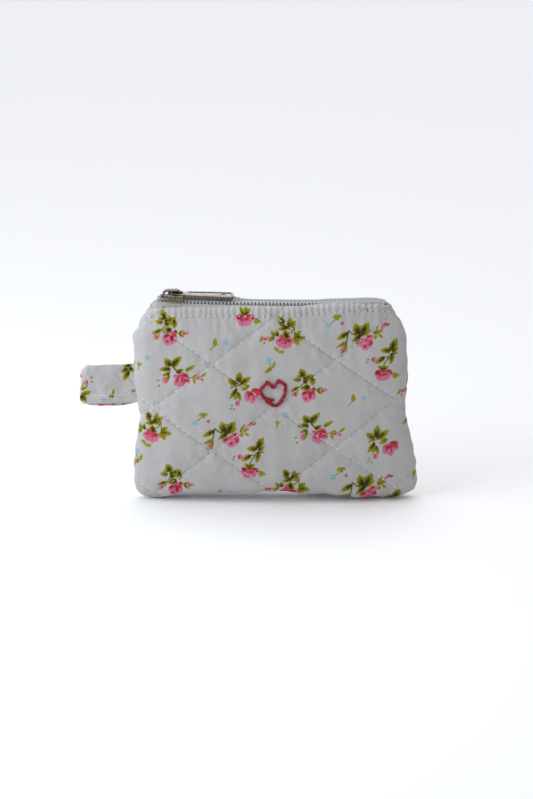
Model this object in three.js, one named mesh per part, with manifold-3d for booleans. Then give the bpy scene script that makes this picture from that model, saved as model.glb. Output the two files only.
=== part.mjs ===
// A small quilted cotton pouch with a coil zip along its top and a folded tab in its left seam.
// Millimetres, +Z up, the front facing -Y, standing on its base with the origin at the base's centre.
// The back half is fixed. The front half swings about the base's front edge as the slider opens the zip.

import * as THREE from 'three';
import { mergeVertices } from 'three/addons/utils/BufferGeometryUtils.js';
import Module from 'manifold-3d';

const wasm = await Module();
wasm.setup();

// The pouch's outline, station by station up its height. The section at a height is a flat oval:
// how far it reaches to the left and right seams, half its depth, and how square its ends are.
const STATIONS = [
  { z: 0, left: 51, right: 54.5, depth: 7.2, square: 2.7 },
  { z: 1.5, left: 55.2, right: 58.6, depth: 7.9, square: 2.6 },
  { z: 5, left: 57, right: 61, depth: 8.6, square: 2.5 },
  { z: 12, left: 57.2, right: 61.2, depth: 9.2, square: 2.4 },
  { z: 24, left: 56.4, right: 59, depth: 9.7, square: 2.4 },
  { z: 38, left: 55.6, right: 57.4, depth: 9.8, square: 2.4 },
  { z: 52, left: 56.2, right: 57, depth: 9.5, square: 2.4 },
  { z: 64, left: 57.4, right: 57.4, depth: 9, square: 2.5 },
  { z: 73, left: 56.6, right: 56.8, depth: 8.4, square: 2.8 },
  { z: 79, left: 54, right: 54.4, depth: 7.6, square: 3.4 },
  { z: 85, left: 50, right: 50.6, depth: 6.4, square: 5 },
];
const BODY_HEIGHT = 85;
const SECTION_POINTS = 28;

// The layers, each by how far its outer face lies inside the outer fabric's, and its thickness.
const OUTER_FABRIC = { inset: 0, thick: 0.7, top: BODY_HEIGHT };
const BATTING = { inset: 1.15, thick: 1.5, top: 75.6 };
const LINING = { inset: 3.1, thick: 0.45, top: 82.6 };
const SEAM_Y = -1; // where the front and back panels meet
const SEAM_GAP = 0.4;
const BATTING_TRIM = 1.2; // the batting is trimmed back from the seam by this much

// The zip: tape, coil and slider, centred on the plane y = 0.
const TAPE_THICK = 0.5;
const TAPE_TOP = 85.8;
const TAPE_SKIRT = { inset: 1.05, thick: 0.45, bottom: 76 };
const TAPE_SLOT = 3.2;
const COIL_PITCH = 1.5;
const COIL_HALF_LENGTH = 48.6;
const COIL_HALF_WIDTH = 2.8;
const COIL_SPINE_INNER = 1.2;
const COIL_TOOTH_REACH = 0.9;
const COIL_TOOTH_WIDTH = 0.45;
const COIL_BOTTOM = 86.1;
const COIL_HEIGHT = 1.2;
const SLIDER_X = -41;
const SLIDER_LENGTH = 9.8;
const SLIDER_SHOULDER = 3.95;
const SLIDER_TAIL = 3.6;
const FLANGE_THICK = 0.9;
const UPPER_FLANGE_Z = 87.6;
const LOWER_FLANGE_Z = 84.1;
const LIP_INNER = 3.12;
const LIP_BOTTOM = 86.15;
const NECK = { from: -4.2, to: -2.2, halfWidth: 0.85 };
const CROWN = { halfLength: 3.9, height: 2.9, wall: 0.8, width: 1.7, gap: 0.2 };
const LOCK_SPRING = { length: 5.8, width: 1.2, thick: 0.2, gap: 0.25 };

// The pull swings about the bar that the crown holds.
const PULL_AXIS_Z = 89.7;
const PULL_DROOP = THREE.MathUtils.degToRad(3.3);
const PULL = { length: 26, width: 4.6, neckWidth: 4.4, thick: 1.2, armInner: 1.3, window: 4.7 };
const PULL_BAR_RADIUS = 0.5;
const PULL_RECESS = { rim: 0.9, depth: 0.35, from: 6.4 };

// The folded tab, which swings about an upright axis just outside the left seam.
const TAB = { hingeX: -59.2, endX: -79.6, bottom: 41, top: 58.5, halfDepth: 1.9, ply: 1 };
const TAB_STITCH = { z: 43, from: -77.5, to: -62 };

// Threads. A machine stitch is 2.5 long, so a row rises and dips once in that length.
const STITCH = 2.5;
const THREAD_RADIUS = 0.2;
const THREAD_CLEAR = 0.5;
const THREAD_WAVE = 0.1;
const TOPSTITCH = { z: 81.5, halfLength: 45 };
const SEAM_THREAD_INSET = 1.95;
const SEAM_THREAD_RADIUS = 0.25;
const FLOSS_RADIUS = 0.55;
const HEART = { x: 1.5, z: 48.6, halfWidth: 5.3, height: 9.6, clear: 0.95 };
const LINING_THREAD = { z: 4.05, y: 0.6, halfLength: 26 };

// The quilting's diamonds: two families of parallel lines, each by its slope and where it
// crosses the pouch's middle, and the margins that the lines stop at.
const QUILT = {
  falling: { slope: -0.72, heights: [6, 44, 83.5] },
  rising: { slope: 0.79, heights: [2.5, 41, 80] },
  halfWidth: 50,
  bottom: 6,
  top: 79,
  step: 8,
};

const MATERIALS = {
  printedCotton: new THREE.MeshStandardMaterial({ color: 0xe9e7ea, roughness: 0.95, metalness: 0 }),
  batting: new THREE.MeshStandardMaterial({ color: 0xf4f4f2, roughness: 1, metalness: 0 }),
  lining: new THREE.MeshStandardMaterial({ color: 0xf0eeea, roughness: 0.95, metalness: 0 }),
  zipTape: new THREE.MeshStandardMaterial({ color: 0xdedfdc, roughness: 0.9, metalness: 0 }),
  zipCoil: new THREE.MeshStandardMaterial({ color: 0xd9dad6, roughness: 0.45, metalness: 0 }),
  nickel: new THREE.MeshStandardMaterial({ color: 0xa9a39c, roughness: 0.25, metalness: 1 }),
  thread: new THREE.MeshStandardMaterial({ color: 0xfafafa, roughness: 0.7, metalness: 0 }),
  floss: new THREE.MeshStandardMaterial({ color: 0xb0243f, roughness: 0.6, metalness: 0 }),
};

// ---- the pouch's surface ----

function stationAt(z) {
  const last = STATIONS.length - 1;
  if (z <= STATIONS[0].z) return STATIONS[0];
  if (z >= STATIONS[last].z) return STATIONS[last];
  const above = STATIONS.findIndex((s) => s.z > z);
  const low = STATIONS[above - 1];
  const high = STATIONS[above];
  const share = (z - low.z) / (high.z - low.z);
  const mix = (key) => THREE.MathUtils.lerp(low[key], high[key], share);
  return { z, left: mix('left'), right: mix('right'), depth: mix('depth'), square: mix('square') };
}

function halfDepth(x, z) {
  const s = stationAt(z);
  const across = Math.min(1, Math.abs(x) / (x < 0 ? s.left : s.right));
  return s.depth * (1 - across ** s.square) ** (1 / s.square);
}

function signedPower(value, power) {
  return Math.sign(value) * Math.abs(value) ** power;
}

function section(z, inset) {
  const s = stationAt(z);
  const points = [];
  for (let k = 0; k < SECTION_POINTS; k += 1) {
    const angle = (2 * Math.PI * (k + 0.5)) / SECTION_POINTS;
    const reach = (Math.cos(angle) < 0 ? s.left : s.right) - inset;
    const x = reach * signedPower(Math.cos(angle), 2 / s.square);
    const y = (s.depth - inset) * signedPower(Math.sin(angle), 2 / s.square);
    points.push([x, y, z]);
  }
  return points;
}

// The closed solid inside the pouch's surface, moved in by inset, between two heights.
function loft(inset, bottom, top) {
  const between = STATIONS.map((s) => s.z).filter((z) => z > bottom + 0.4 && z < top - 0.4);
  const heights = [bottom, ...between, top];
  const positions = heights.flatMap((z) => section(z, inset)).flat();
  const count = SECTION_POINTS;
  const faces = [];
  for (let level = 0; level < heights.length - 1; level += 1) {
    for (let k = 0; k < count; k += 1) {
      const a = level * count + k;
      const b = level * count + ((k + 1) % count);
      faces.push(a, b, b + count, a, b + count, a + count);
    }
  }
  const lid = (heights.length - 1) * count;
  for (let k = 1; k < count - 1; k += 1) {
    faces.push(0, k + 1, k);
    faces.push(lid, lid + k, lid + k + 1);
  }
  const geometry = new THREE.BufferGeometry();
  geometry.setAttribute('position', new THREE.Float32BufferAttribute(positions, 3));
  geometry.setIndex(faces);
  return geometry;
}

// ---- joining and cutting ----

function solid(geometry) {
  const bare = geometry.clone();
  bare.deleteAttribute('normal');
  bare.deleteAttribute('uv');
  const merged = mergeVertices(bare, 1e-4);
  return new wasm.Manifold(new wasm.Mesh({
    numProp: 3,
    vertProperties: new Float32Array(merged.attributes.position.array),
    triVerts: new Uint32Array(merged.index.array),
  }));
}

function geometryOf(manifold) {
  const mesh = manifold.getMesh();
  const geometry = new THREE.BufferGeometry();
  geometry.setAttribute('position', new THREE.BufferAttribute(new Float32Array(mesh.vertProperties), 3));
  geometry.setIndex(new THREE.BufferAttribute(new Uint32Array(mesh.triVerts), 1));
  const merged = mergeVertices(geometry, 1e-4);
  merged.computeVertexNormals();
  return merged;
}

function block(low, high) {
  const size = high.map((value, axis) => value - low[axis]);
  const middle = high.map((value, axis) => (value + low[axis]) / 2);
  return new THREE.BoxGeometry(...size).translate(...middle);
}

// Everything on the front's side (side -1) or the back's (side 1) of the seam, less a margin.
function sideOfSeam(side, margin) {
  const far = 40;
  const near = SEAM_Y + side * (SEAM_GAP / 2 + margin);
  const [low, high] = side < 0 ? [-far, near] : [near, far];
  return solid(block([-90, low, -5], [90, high, 100]));
}

// ---- fabric layers ----

function panel(layer, side, margin = 0) {
  const hollow = layer.inset + layer.thick;
  const shell = solid(loft(layer.inset, layer.inset, layer.top))
    .subtract(solid(loft(hollow, hollow, BODY_HEIGHT + 5)));
  return geometryOf(shell.intersect(sideOfSeam(side, margin)));
}

// ---- zip ----

function zipTape(side) {
  const inner = TAPE_SKIRT.inset + TAPE_SKIRT.thick;
  const hood = solid(loft(TAPE_SKIRT.inset, TAPE_SKIRT.bottom, TAPE_TOP))
    .subtract(solid(loft(inner, TAPE_SKIRT.bottom - 2, TAPE_TOP - TAPE_THICK)));
  const slot = TAPE_SLOT / 2;
  const [low, high] = side < 0 ? [-20, -slot] : [slot, 20];
  return geometryOf(hood.intersect(solid(block([-90, low, 70], [90, high, 90]))));
}

// Half of the chain, seen from above as a comb whose teeth pass between the other half's.
function zipCoil(side) {
  const firstTooth = SLIDER_X + NECK.to + 1.2 + (side < 0 ? COIL_PITCH / 2 : 0);
  const outline = [[-COIL_HALF_LENGTH, COIL_HALF_WIDTH], [-COIL_HALF_LENGTH, COIL_SPINE_INNER]];
  for (let x = firstTooth; x < COIL_HALF_LENGTH - COIL_PITCH; x += COIL_PITCH) {
    outline.push([x - COIL_TOOTH_WIDTH / 2, COIL_SPINE_INNER], [x - COIL_TOOTH_WIDTH / 2, -COIL_TOOTH_REACH]);
    outline.push([x + COIL_TOOTH_WIDTH / 2, -COIL_TOOTH_REACH], [x + COIL_TOOTH_WIDTH / 2, COIL_SPINE_INNER]);
  }
  outline.push([COIL_HALF_LENGTH, COIL_SPINE_INNER], [COIL_HALF_LENGTH, COIL_HALF_WIDTH]);
  const shape = new THREE.Shape(outline.map(([x, y]) => new THREE.Vector2(x, side * y)));
  const comb = new THREE.ExtrudeGeometry(shape, { depth: COIL_HEIGHT, bevelEnabled: false });
  return geometryOf(solid(comb.translate(0, 0, COIL_BOTTOM)));
}

function sliderOutline() {
  const half = SLIDER_LENGTH / 2;
  const shape = new THREE.Shape();
  shape.moveTo(-half, -SLIDER_SHOULDER + 1.4);
  shape.quadraticCurveTo(-half, -SLIDER_SHOULDER, -half + 1.8, -SLIDER_SHOULDER);
  shape.lineTo(half - 1.2, -SLIDER_TAIL);
  shape.quadraticCurveTo(half, -SLIDER_TAIL, half, -SLIDER_TAIL + 1.2);
  shape.lineTo(half, SLIDER_TAIL - 1.2);
  shape.quadraticCurveTo(half, SLIDER_TAIL, half - 1.2, SLIDER_TAIL);
  shape.lineTo(-half + 1.8, SLIDER_SHOULDER);
  shape.quadraticCurveTo(-half, SLIDER_SHOULDER, -half, SLIDER_SHOULDER - 1.4);
  shape.closePath();
  return shape;
}

// Two flanges joined by the neck that parts the chain, with lips turned down beside the coil.
function sliderBody() {
  const plate = (z, depth) => {
    const slab = new THREE.ExtrudeGeometry(sliderOutline(), { depth, bevelEnabled: false, curveSegments: 5 });
    return solid(slab.translate(SLIDER_X, 0, z));
  };
  const channel = block(
    [SLIDER_X - SLIDER_LENGTH, -LIP_INNER, LIP_BOTTOM - 1],
    [SLIDER_X + SLIDER_LENGTH, LIP_INNER, UPPER_FLANGE_Z],
  );
  const lips = plate(LIP_BOTTOM, UPPER_FLANGE_Z - LIP_BOTTOM + 0.2).subtract(solid(channel));
  const neck = block(
    [SLIDER_X + NECK.from, -NECK.halfWidth, LOWER_FLANGE_Z + FLANGE_THICK / 2],
    [SLIDER_X + NECK.to, NECK.halfWidth, UPPER_FLANGE_Z + FLANGE_THICK / 2],
  );
  return geometryOf(
    plate(LOWER_FLANGE_Z, FLANGE_THICK)
      .add(plate(UPPER_FLANGE_Z, FLANGE_THICK))
      .add(lips)
      .add(solid(neck)),
  );
}

// The arched bridge on the upper flange that holds the pull's bar.
function sliderCrown() {
  const { halfLength, height, wall, width, gap } = CROWN;
  const shoulder = height - 1.3;
  const shape = new THREE.Shape();
  shape.moveTo(-halfLength, 0);
  shape.lineTo(-halfLength, shoulder);
  shape.quadraticCurveTo(-halfLength, height, -halfLength + 1.6, height);
  shape.lineTo(halfLength - 1.6, height);
  shape.quadraticCurveTo(halfLength, height, halfLength, shoulder);
  shape.lineTo(halfLength, 0);
  shape.lineTo(halfLength - wall, 0);
  shape.lineTo(halfLength - wall, shoulder - 0.2);
  shape.lineTo(halfLength - 1.8, height - wall);
  shape.lineTo(-halfLength + 1.8, height - wall);
  shape.lineTo(-halfLength + wall, shoulder - 0.2);
  shape.lineTo(-halfLength + wall, 0);
  shape.closePath();
  return new THREE.ExtrudeGeometry(shape, { depth: width, bevelEnabled: false, curveSegments: 5 })
    .rotateX(Math.PI / 2)
    .translate(SLIDER_X, width / 2, UPPER_FLANGE_Z + FLANGE_THICK + gap);
}

function lockSpring() {
  const z = UPPER_FLANGE_Z + FLANGE_THICK + LOCK_SPRING.gap;
  return block(
    [SLIDER_X - LOCK_SPRING.length / 2, -LOCK_SPRING.width / 2, z],
    [SLIDER_X + LOCK_SPRING.length / 2, LOCK_SPRING.width / 2, z + LOCK_SPRING.thick],
  );
}

function pullOutline() {
  const { length, width, neckWidth } = PULL;
  const shape = new THREE.Shape();
  shape.moveTo(-PULL_BAR_RADIUS, -neckWidth / 2);
  shape.lineTo(PULL.window, -neckWidth / 2);
  shape.lineTo(PULL.window + 2, -width / 2);
  shape.lineTo(length - 1.2, -width / 2);
  shape.quadraticCurveTo(length, -width / 2, length, -width / 2 + 1.4);
  shape.lineTo(length, width / 2 - 1.4);
  shape.quadraticCurveTo(length, width / 2, length - 1.2, width / 2);
  shape.lineTo(PULL.window + 2, width / 2);
  shape.lineTo(PULL.window, neckWidth / 2);
  shape.lineTo(-PULL_BAR_RADIUS, neckWidth / 2);
  shape.closePath();
  return shape;
}

// The pull as it lies along +X about its own axis: a plate with a window for the crown, the bar
// across the window's end, and a sunk panel inside a raised rim.
function pullTab() {
  const { thick, armInner, window, length, width } = PULL;
  const plate = new THREE.ExtrudeGeometry(pullOutline(), { depth: thick, bevelEnabled: false, curveSegments: 5 });
  const opening = block([-3, -armInner, -thick], [window, armInner, thick]);
  const recess = block(
    [PULL_RECESS.from, -width / 2 + PULL_RECESS.rim, thick / 2 - PULL_RECESS.depth],
    [length - PULL_RECESS.rim - 0.5, width / 2 - PULL_RECESS.rim, thick],
  );
  const bar = new THREE.CylinderGeometry(PULL_BAR_RADIUS, PULL_BAR_RADIUS, 2 * armInner + 0.8, 10);
  return geometryOf(
    solid(plate.translate(0, 0, -thick / 2))
      .subtract(solid(opening))
      .subtract(solid(recess))
      .add(solid(bar)),
  );
}

// ---- tab ----

// A strip folded back on itself, seen from above as a narrow U with its fold at the free end.
function sideTab() {
  const { hingeX, endX, bottom, top, halfDepth: half, ply } = TAB;
  const fold = endX + half;
  const shape = new THREE.Shape();
  shape.moveTo(hingeX, -half);
  shape.lineTo(hingeX, -half + ply);
  shape.lineTo(fold, -half + ply);
  shape.absarc(fold, 0, half - ply, -Math.PI / 2, Math.PI / 2, true);
  shape.lineTo(hingeX, half - ply);
  shape.lineTo(hingeX, half);
  shape.lineTo(fold, half);
  shape.absarc(fold, 0, half, Math.PI / 2, -Math.PI / 2, false);
  shape.closePath();
  const strip = new THREE.ExtrudeGeometry(shape, { depth: top - bottom, bevelEnabled: false, curveSegments: 6 });
  return geometryOf(solid(strip.translate(0, 0, bottom)));
}

// ---- threads ----

function polygon(radius, sides) {
  const corners = [];
  for (let k = 0; k < sides; k += 1) {
    const angle = (2 * Math.PI * k) / sides;
    corners.push(new THREE.Vector2(radius * Math.cos(angle), radius * Math.sin(angle)));
  }
  return new THREE.Shape(corners);
}

function strand(points, radius, sides) {
  const extrudePath = new THREE.CatmullRomCurve3(points);
  const steps = points.length - 1;
  return new THREE.ExtrudeGeometry(polygon(radius, sides), { steps, extrudePath, bevelEnabled: false });
}

// A machine-sewn row: place(share) gives its line from 0 to 1, and outward the way it rises.
function stitchRow(length, place, outward) {
  const halfStitches = Math.round(length / (STITCH / 2));
  const points = [];
  for (let k = 0; k <= halfStitches; k += 1) {
    const rise = (k % 2 ? 1 : -1) * THREAD_WAVE;
    points.push(place(k / halfStitches).addScaledVector(outward, rise));
  }
  return strand(points, THREAD_RADIUS, 4);
}

function onFace(side, x, z, clear) {
  return new THREE.Vector3(x, side * (halfDepth(x, z) + clear), z);
}

function topstitch(side) {
  const { z, halfLength } = TOPSTITCH;
  const place = (share) => onFace(side, THREE.MathUtils.lerp(-halfLength, halfLength, share), z, THREAD_CLEAR);
  return stitchRow(2 * halfLength, place, new THREE.Vector3(0, side, 0));
}

function tabTopstitch() {
  const { z, from, to } = TAB_STITCH;
  const y = -TAB.halfDepth - THREAD_CLEAR;
  const place = (share) => new THREE.Vector3(THREE.MathUtils.lerp(from, to, share), y, z);
  return stitchRow(to - from, place, new THREE.Vector3(0, -1, 0));
}

// One straight quilting line, cut to the panel's margins.
function quiltLine(side, slope, height) {
  const { halfWidth, bottom, top, step } = QUILT;
  const ends = [bottom, top].map((z) => (z - height) / slope).sort((a, b) => a - b);
  const from = Math.max(-halfWidth, ends[0]);
  const to = Math.min(halfWidth, ends[1]);
  const count = Math.max(2, Math.round((Math.hypot(1, slope) * (to - from)) / step));
  const points = [];
  for (let k = 0; k <= count; k += 1) {
    const x = THREE.MathUtils.lerp(from, to, k / count);
    points.push(onFace(side, x, height + slope * x, THREAD_CLEAR + 0.15));
  }
  return solid(strand(points, THREAD_RADIUS + 0.05, 3));
}

function quilting(side) {
  let net = null;
  for (const { slope, heights } of [QUILT.falling, QUILT.rising]) {
    for (const height of heights) {
      const line = quiltLine(side, slope, height);
      net = net ? net.add(line) : line;
    }
  }
  return geometryOf(net);
}

// A hand-stitched heart outline: two lobes over a point, left open by a hair where it starts.
function heart() {
  const { x, z, halfWidth, height, clear } = HEART;
  const points = [];
  const count = 26;
  for (let k = 0; k <= count; k += 1) {
    const t = THREE.MathUtils.lerp(0.06, 2 * Math.PI - 0.06, k / count);
    const across = halfWidth * Math.sin(t) ** 3;
    const rise = (13 * Math.cos(t) - 5 * Math.cos(2 * t) - 2 * Math.cos(3 * t) - Math.cos(4 * t)) / 29;
    points.push(onFace(-1, x + across, z + 0.1 * height + height * rise, clear));
  }
  return strand(points, FLOSS_RADIUS, 6);
}

function sideSeamThread(side) {
  const points = [];
  for (let z = 5; z <= 79; z += 4.625) {
    const s = stationAt(z);
    const reach = (side < 0 ? s.left : s.right) - SEAM_THREAD_INSET;
    points.push(new THREE.Vector3(side * reach, 0, z));
  }
  return strand(points, SEAM_THREAD_RADIUS, 4);
}

function bottomSeamThread() {
  const reach = 48;
  const points = [-1, -0.5, 0, 0.5, 1].map((share) => new THREE.Vector3(share * reach, 0, SEAM_THREAD_INSET));
  return strand(points, SEAM_THREAD_RADIUS, 4);
}

function liningClosingThread() {
  const { z, y, halfLength } = LINING_THREAD;
  const place = (share) => new THREE.Vector3(THREE.MathUtils.lerp(-halfLength, halfLength, share), y, z);
  return stitchRow(2 * halfLength, place, new THREE.Vector3(0, 0, 1));
}

// ---- assembly ----

function piece(name, geometry, material) {
  const mesh = new THREE.Mesh(geometry, material);
  mesh.name = name;
  return mesh;
}

function half(side, label) {
  const group = new THREE.Group();
  group.add(
    piece(`${label}_outer_fabric`, panel(OUTER_FABRIC, side), MATERIALS.printedCotton),
    piece(`${label}_batting`, panel(BATTING, side, BATTING_TRIM), MATERIALS.batting),
    piece(`${label}_lining`, panel(LINING, side), MATERIALS.lining),
    piece(`${label}_zip_tape`, zipTape(side), MATERIALS.zipTape),
    piece(`${label}_zip_coil`, zipCoil(side), MATERIALS.zipCoil),
    piece(`${label}_topstitch`, topstitch(side), MATERIALS.thread),
    piece(`${label}_quilting_thread`, quilting(side), MATERIALS.thread),
  );
  return group;
}

function slider() {
  const group = new THREE.Group();
  const pull = piece('pull_tab', pullTab(), MATERIALS.nickel);
  pull.position.set(SLIDER_X, 0, PULL_AXIS_Z);
  pull.rotation.y = PULL_DROOP;
  group.add(
    piece('slider_body', sliderBody(), MATERIALS.nickel),
    piece('slider_crown', sliderCrown(), MATERIALS.nickel),
    piece('slider_lock_spring', lockSpring(), MATERIALS.nickel),
    pull,
  );
  return group;
}

function tab() {
  const group = new THREE.Group();
  group.add(
    piece('side_tab', sideTab(), MATERIALS.printedCotton),
    piece('side_tab_topstitch', tabTopstitch(), MATERIALS.thread),
  );
  return group;
}

function seams() {
  const group = new THREE.Group();
  group.add(
    piece('left_seam_thread', sideSeamThread(-1), MATERIALS.thread),
    piece('right_seam_thread', sideSeamThread(1), MATERIALS.thread),
    piece('bottom_seam_thread', bottomSeamThread(), MATERIALS.thread),
    piece('lining_closing_thread', liningClosingThread(), MATERIALS.thread),
  );
  return group;
}

const pouch = new THREE.Group();
pouch.add(
  half(-1, 'front'),
  half(1, 'back'),
  slider(),
  tab(),
  seams(),
  piece('heart_embroidery', heart(), MATERIALS.floss),
);

export default pouch;
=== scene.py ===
"""A quilted, rose-sprigged zip pouch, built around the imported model. Lengths are in millimetres
until mesh_piece() turns them into metres, and the cloth's own coordinates are u across and v up."""
import math

import bmesh
import bpy
import numpy as np
from mathutils import Matrix, Vector


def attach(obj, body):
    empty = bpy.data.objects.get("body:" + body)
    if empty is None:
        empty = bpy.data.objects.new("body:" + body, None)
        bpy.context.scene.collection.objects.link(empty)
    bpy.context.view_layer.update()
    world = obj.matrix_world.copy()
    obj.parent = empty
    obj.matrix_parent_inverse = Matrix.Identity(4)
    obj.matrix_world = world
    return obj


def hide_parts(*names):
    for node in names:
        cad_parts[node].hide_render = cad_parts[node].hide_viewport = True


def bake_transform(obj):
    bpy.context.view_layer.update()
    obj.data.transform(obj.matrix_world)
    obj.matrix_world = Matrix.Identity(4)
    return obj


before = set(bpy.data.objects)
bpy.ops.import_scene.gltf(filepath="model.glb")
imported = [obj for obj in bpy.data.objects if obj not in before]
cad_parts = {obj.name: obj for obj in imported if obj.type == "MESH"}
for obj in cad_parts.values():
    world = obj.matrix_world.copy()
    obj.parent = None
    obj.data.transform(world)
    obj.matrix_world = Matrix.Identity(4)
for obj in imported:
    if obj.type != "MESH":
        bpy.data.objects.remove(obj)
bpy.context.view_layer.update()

MM = 0.001
rng = np.random.default_rng(7)

# ---- the pouch's form ----

# Each height's reach to the left and right, half depth and squareness of section.
STATIONS = (
    (0, 51, 54.5, 6.6, 2.7),
    (1.5, 55, 59.0, 7.4, 2.6),
    (5, 57, 62, 8.5, 2.5),
    (12, 57.4, 62.4, 9.2, 2.4),
    (24, 56.4, 60.2, 9.7, 2.4),
    (38, 55.2, 57.6, 9.8, 2.4),
    (52, 57.2, 58.1, 9.5, 2.4),
    (64, 56.8, 57.9, 9, 2.5),
    (73, 56.9, 57.3, 8.4, 2.8),
    (79, 54, 54.9, 7.6, 3.0),
    (82, 53, 53.1, 7.05, 3.3),
    (85, 50, 51, 6.4, 3.6),
)
FOLD_Z = 85
DATUM_Z = 45  # where the cloth's v is the height above the floor
SEAM_Y = -1
SEAM_GAP = 0.4
SIDES = {"front": -1, "back": 1}

# How far the bottom edge arches up between its two corners, and how the top edges and the
# zip rise and sag along their length, each as (x, height).
BOTTOM_ARCH = ((-60, 0.1), (-49, 0), (-41, 1.1), (-33, 2.6), (-15, 3.3), (10, 3.3),
               (23, 2.7), (36, 1.4), (47, 0.2), (62, 0))
FRONT_RISE = ((-60, -2), (-50, -1.6), (-45, -0.9), (-38, -0.5), (-20, -0.4), (0, -0.4), (10, -0.1),
              (20, 0.5), (30, 0.7), (40, 0.8), (46, 0.6), (50, -0.4), (60, -0.9))
BACK_RISE = ((-60, -1.4), (-50, -0.8), (-46, 0.2), (-38, 1.4), (-28, 2.1), (-20, 2.1), (-16, 1.5),
             (-12, 0.4), (-8, -0.4), (2, -1.0), (10, -1.2), (18, -1.1), (26, -0.7), (34, -0.3), (44, 0.3),
             (48, 0), (51, -1.6), (60, -2))
ZIP_RISE = ((-52, -2.6), (-50, -1.4), (-47.5, 0.4), (-44, 0.7), (-38, 0.2), (-30, -0.2), (-16, -0.6),
            (0, -0.9), (12, -1.0), (22, -1.0), (34, -0.8), (43, -0.5), (47, -0.8), (50, -1.8), (52, -2.8))
# The row of stitches along the top edges, by the cloth's height.
TOP_ROW = ((-52, 80.8), (-48, 81.3), (-40, 81.8), (-20, 82), (4, 82.1), (12, 82.4), (20, 83.2),
           (28, 83.8), (38, 84.2), (45, 84.1), (50, 83.4))
BACK_ROW_Z = 81.9  # the back's row follows its top edge from here

# ---- the quilting, the stitches and the zip ----

# The two families of quilting lines: their slope, and their heights at u = 0.
FALLING = (-0.72, (83.5, 44, 6, -32))
RISING = (0.79, (119, 80, 41, 2.5, -36.5))
TOP_FIRST, TOP_LAST = -50.5, 51  # where the row of stitches along the top begins and ends
STITCH = 2.5
ZIP_END = 50
COIL_PITCH = 1.5
COIL_Z = 86.7
SLIDER_X = -41
WAVE_COUNT = 14


def smooth(t):
    t = np.clip(t, 0, 1)
    return t * t * (3 - 2 * t)


def curve_through(points):
    """A smooth function through (x, value) points, level beyond its ends."""
    xs, ys = np.array(points, float).T
    slopes = np.gradient(ys, xs)

    def at(x):
        x = np.clip(x, xs[0], xs[-1])
        k = np.clip(np.searchsorted(xs, x) - 1, 0, len(xs) - 2)
        h = xs[k + 1] - xs[k]
        t = (x - xs[k]) / h
        ends = ys[k] * (1 + 2 * t) * (1 - t) ** 2 + ys[k + 1] * t * t * (3 - 2 * t)
        return ends + h * t * (1 - t) * (slopes[k] * (1 - t) - slopes[k + 1] * t)

    return at


def station_curve(column):
    """One column of the stations as a smooth function of height."""
    return curve_through([(s[0], s[column]) for s in STATIONS])


left_reach, right_reach, half_depth, squareness = (station_curve(c) for c in (1, 2, 3, 4))
bottom_arch = curve_through(BOTTOM_ARCH)
top_rise = {"front": curve_through(FRONT_RISE), "back": curve_through(BACK_RISE)}
zip_rise = curve_through(ZIP_RISE)
top_row = {"front": curve_through(TOP_ROW), "back": lambda x: BACK_ROW_Z + top_rise["back"](x)}


def waves(a, b, seed, shortest, longest, squeeze=1.0):
    """Seeded plane waves over (a, b), about 1 high; a squeeze under 1 draws them out along b."""
    draw = np.random.default_rng(seed)
    total = np.zeros(np.broadcast(a, b).shape)
    for _ in range(WAVE_COUNT):
        length = math.exp(draw.uniform(math.log(shortest), math.log(longest)))
        turn, phase = draw.uniform(0, 2 * math.pi, 2)
        total += np.sin(2 * math.pi * (a * math.cos(turn) + b * math.sin(turn) * squeeze) / length + phase)
    return total / math.sqrt(WAVE_COUNT / 2)


def distance_along(path):
    """How far along a line of points each of them is."""
    return np.concatenate([[0], np.cumsum(np.linalg.norm(np.diff(path, axis=0), axis=1))])


def cloth_coordinates(u, v):
    """(u, v) as the vectors that the cloth's materials read."""
    return np.stack([u.ravel(), v.ravel(), 0 * u.ravel()], 1)


# ---- meshes ----


def mesh_piece(name, points, faces, material, **attributes):
    """A mesh object from points in millimetres; attributes are per point, by name."""
    mesh = bpy.data.meshes.new(name)
    points = np.asarray(points, float).reshape(-1, 3)
    mesh.from_pydata((points * MM).tolist(), [], faces)
    mesh.update()
    mesh.shade_smooth()
    for key, values in attributes.items():
        values = np.asarray(values, np.float32)
        kind, field = {1: ("FLOAT", "value"), 3: ("FLOAT_VECTOR", "vector"), 4: ("FLOAT_COLOR", "color")}[
            values.shape[1] if values.ndim > 1 else 1]
        mesh.attributes.new(key, kind, "POINT").data.foreach_set(field, values.ravel())
    piece = bpy.data.objects.new(name, mesh)
    bpy.context.scene.collection.objects.link(piece)
    mesh.materials.append(material)
    return piece


def quads(rows, columns, start=0, flip=False, around=False):
    """The faces of a grid of points; around joins its last column to its first."""
    r, c = np.meshgrid(np.arange(rows - 1), np.arange(columns if around else columns - 1), indexing="ij")
    a = start + r * columns + c
    b = start + r * columns + (c + 1) % columns
    faces = np.stack([a, b, b + columns, a + columns], -1).reshape(-1, 4)
    return (faces[:, ::-1] if flip else faces).tolist()


def grid_normals(points):
    normal = np.cross(np.gradient(points, axis=1), np.gradient(points, axis=0))
    return normal / np.maximum(np.linalg.norm(normal, axis=2, keepdims=True), 1e-9)


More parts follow.
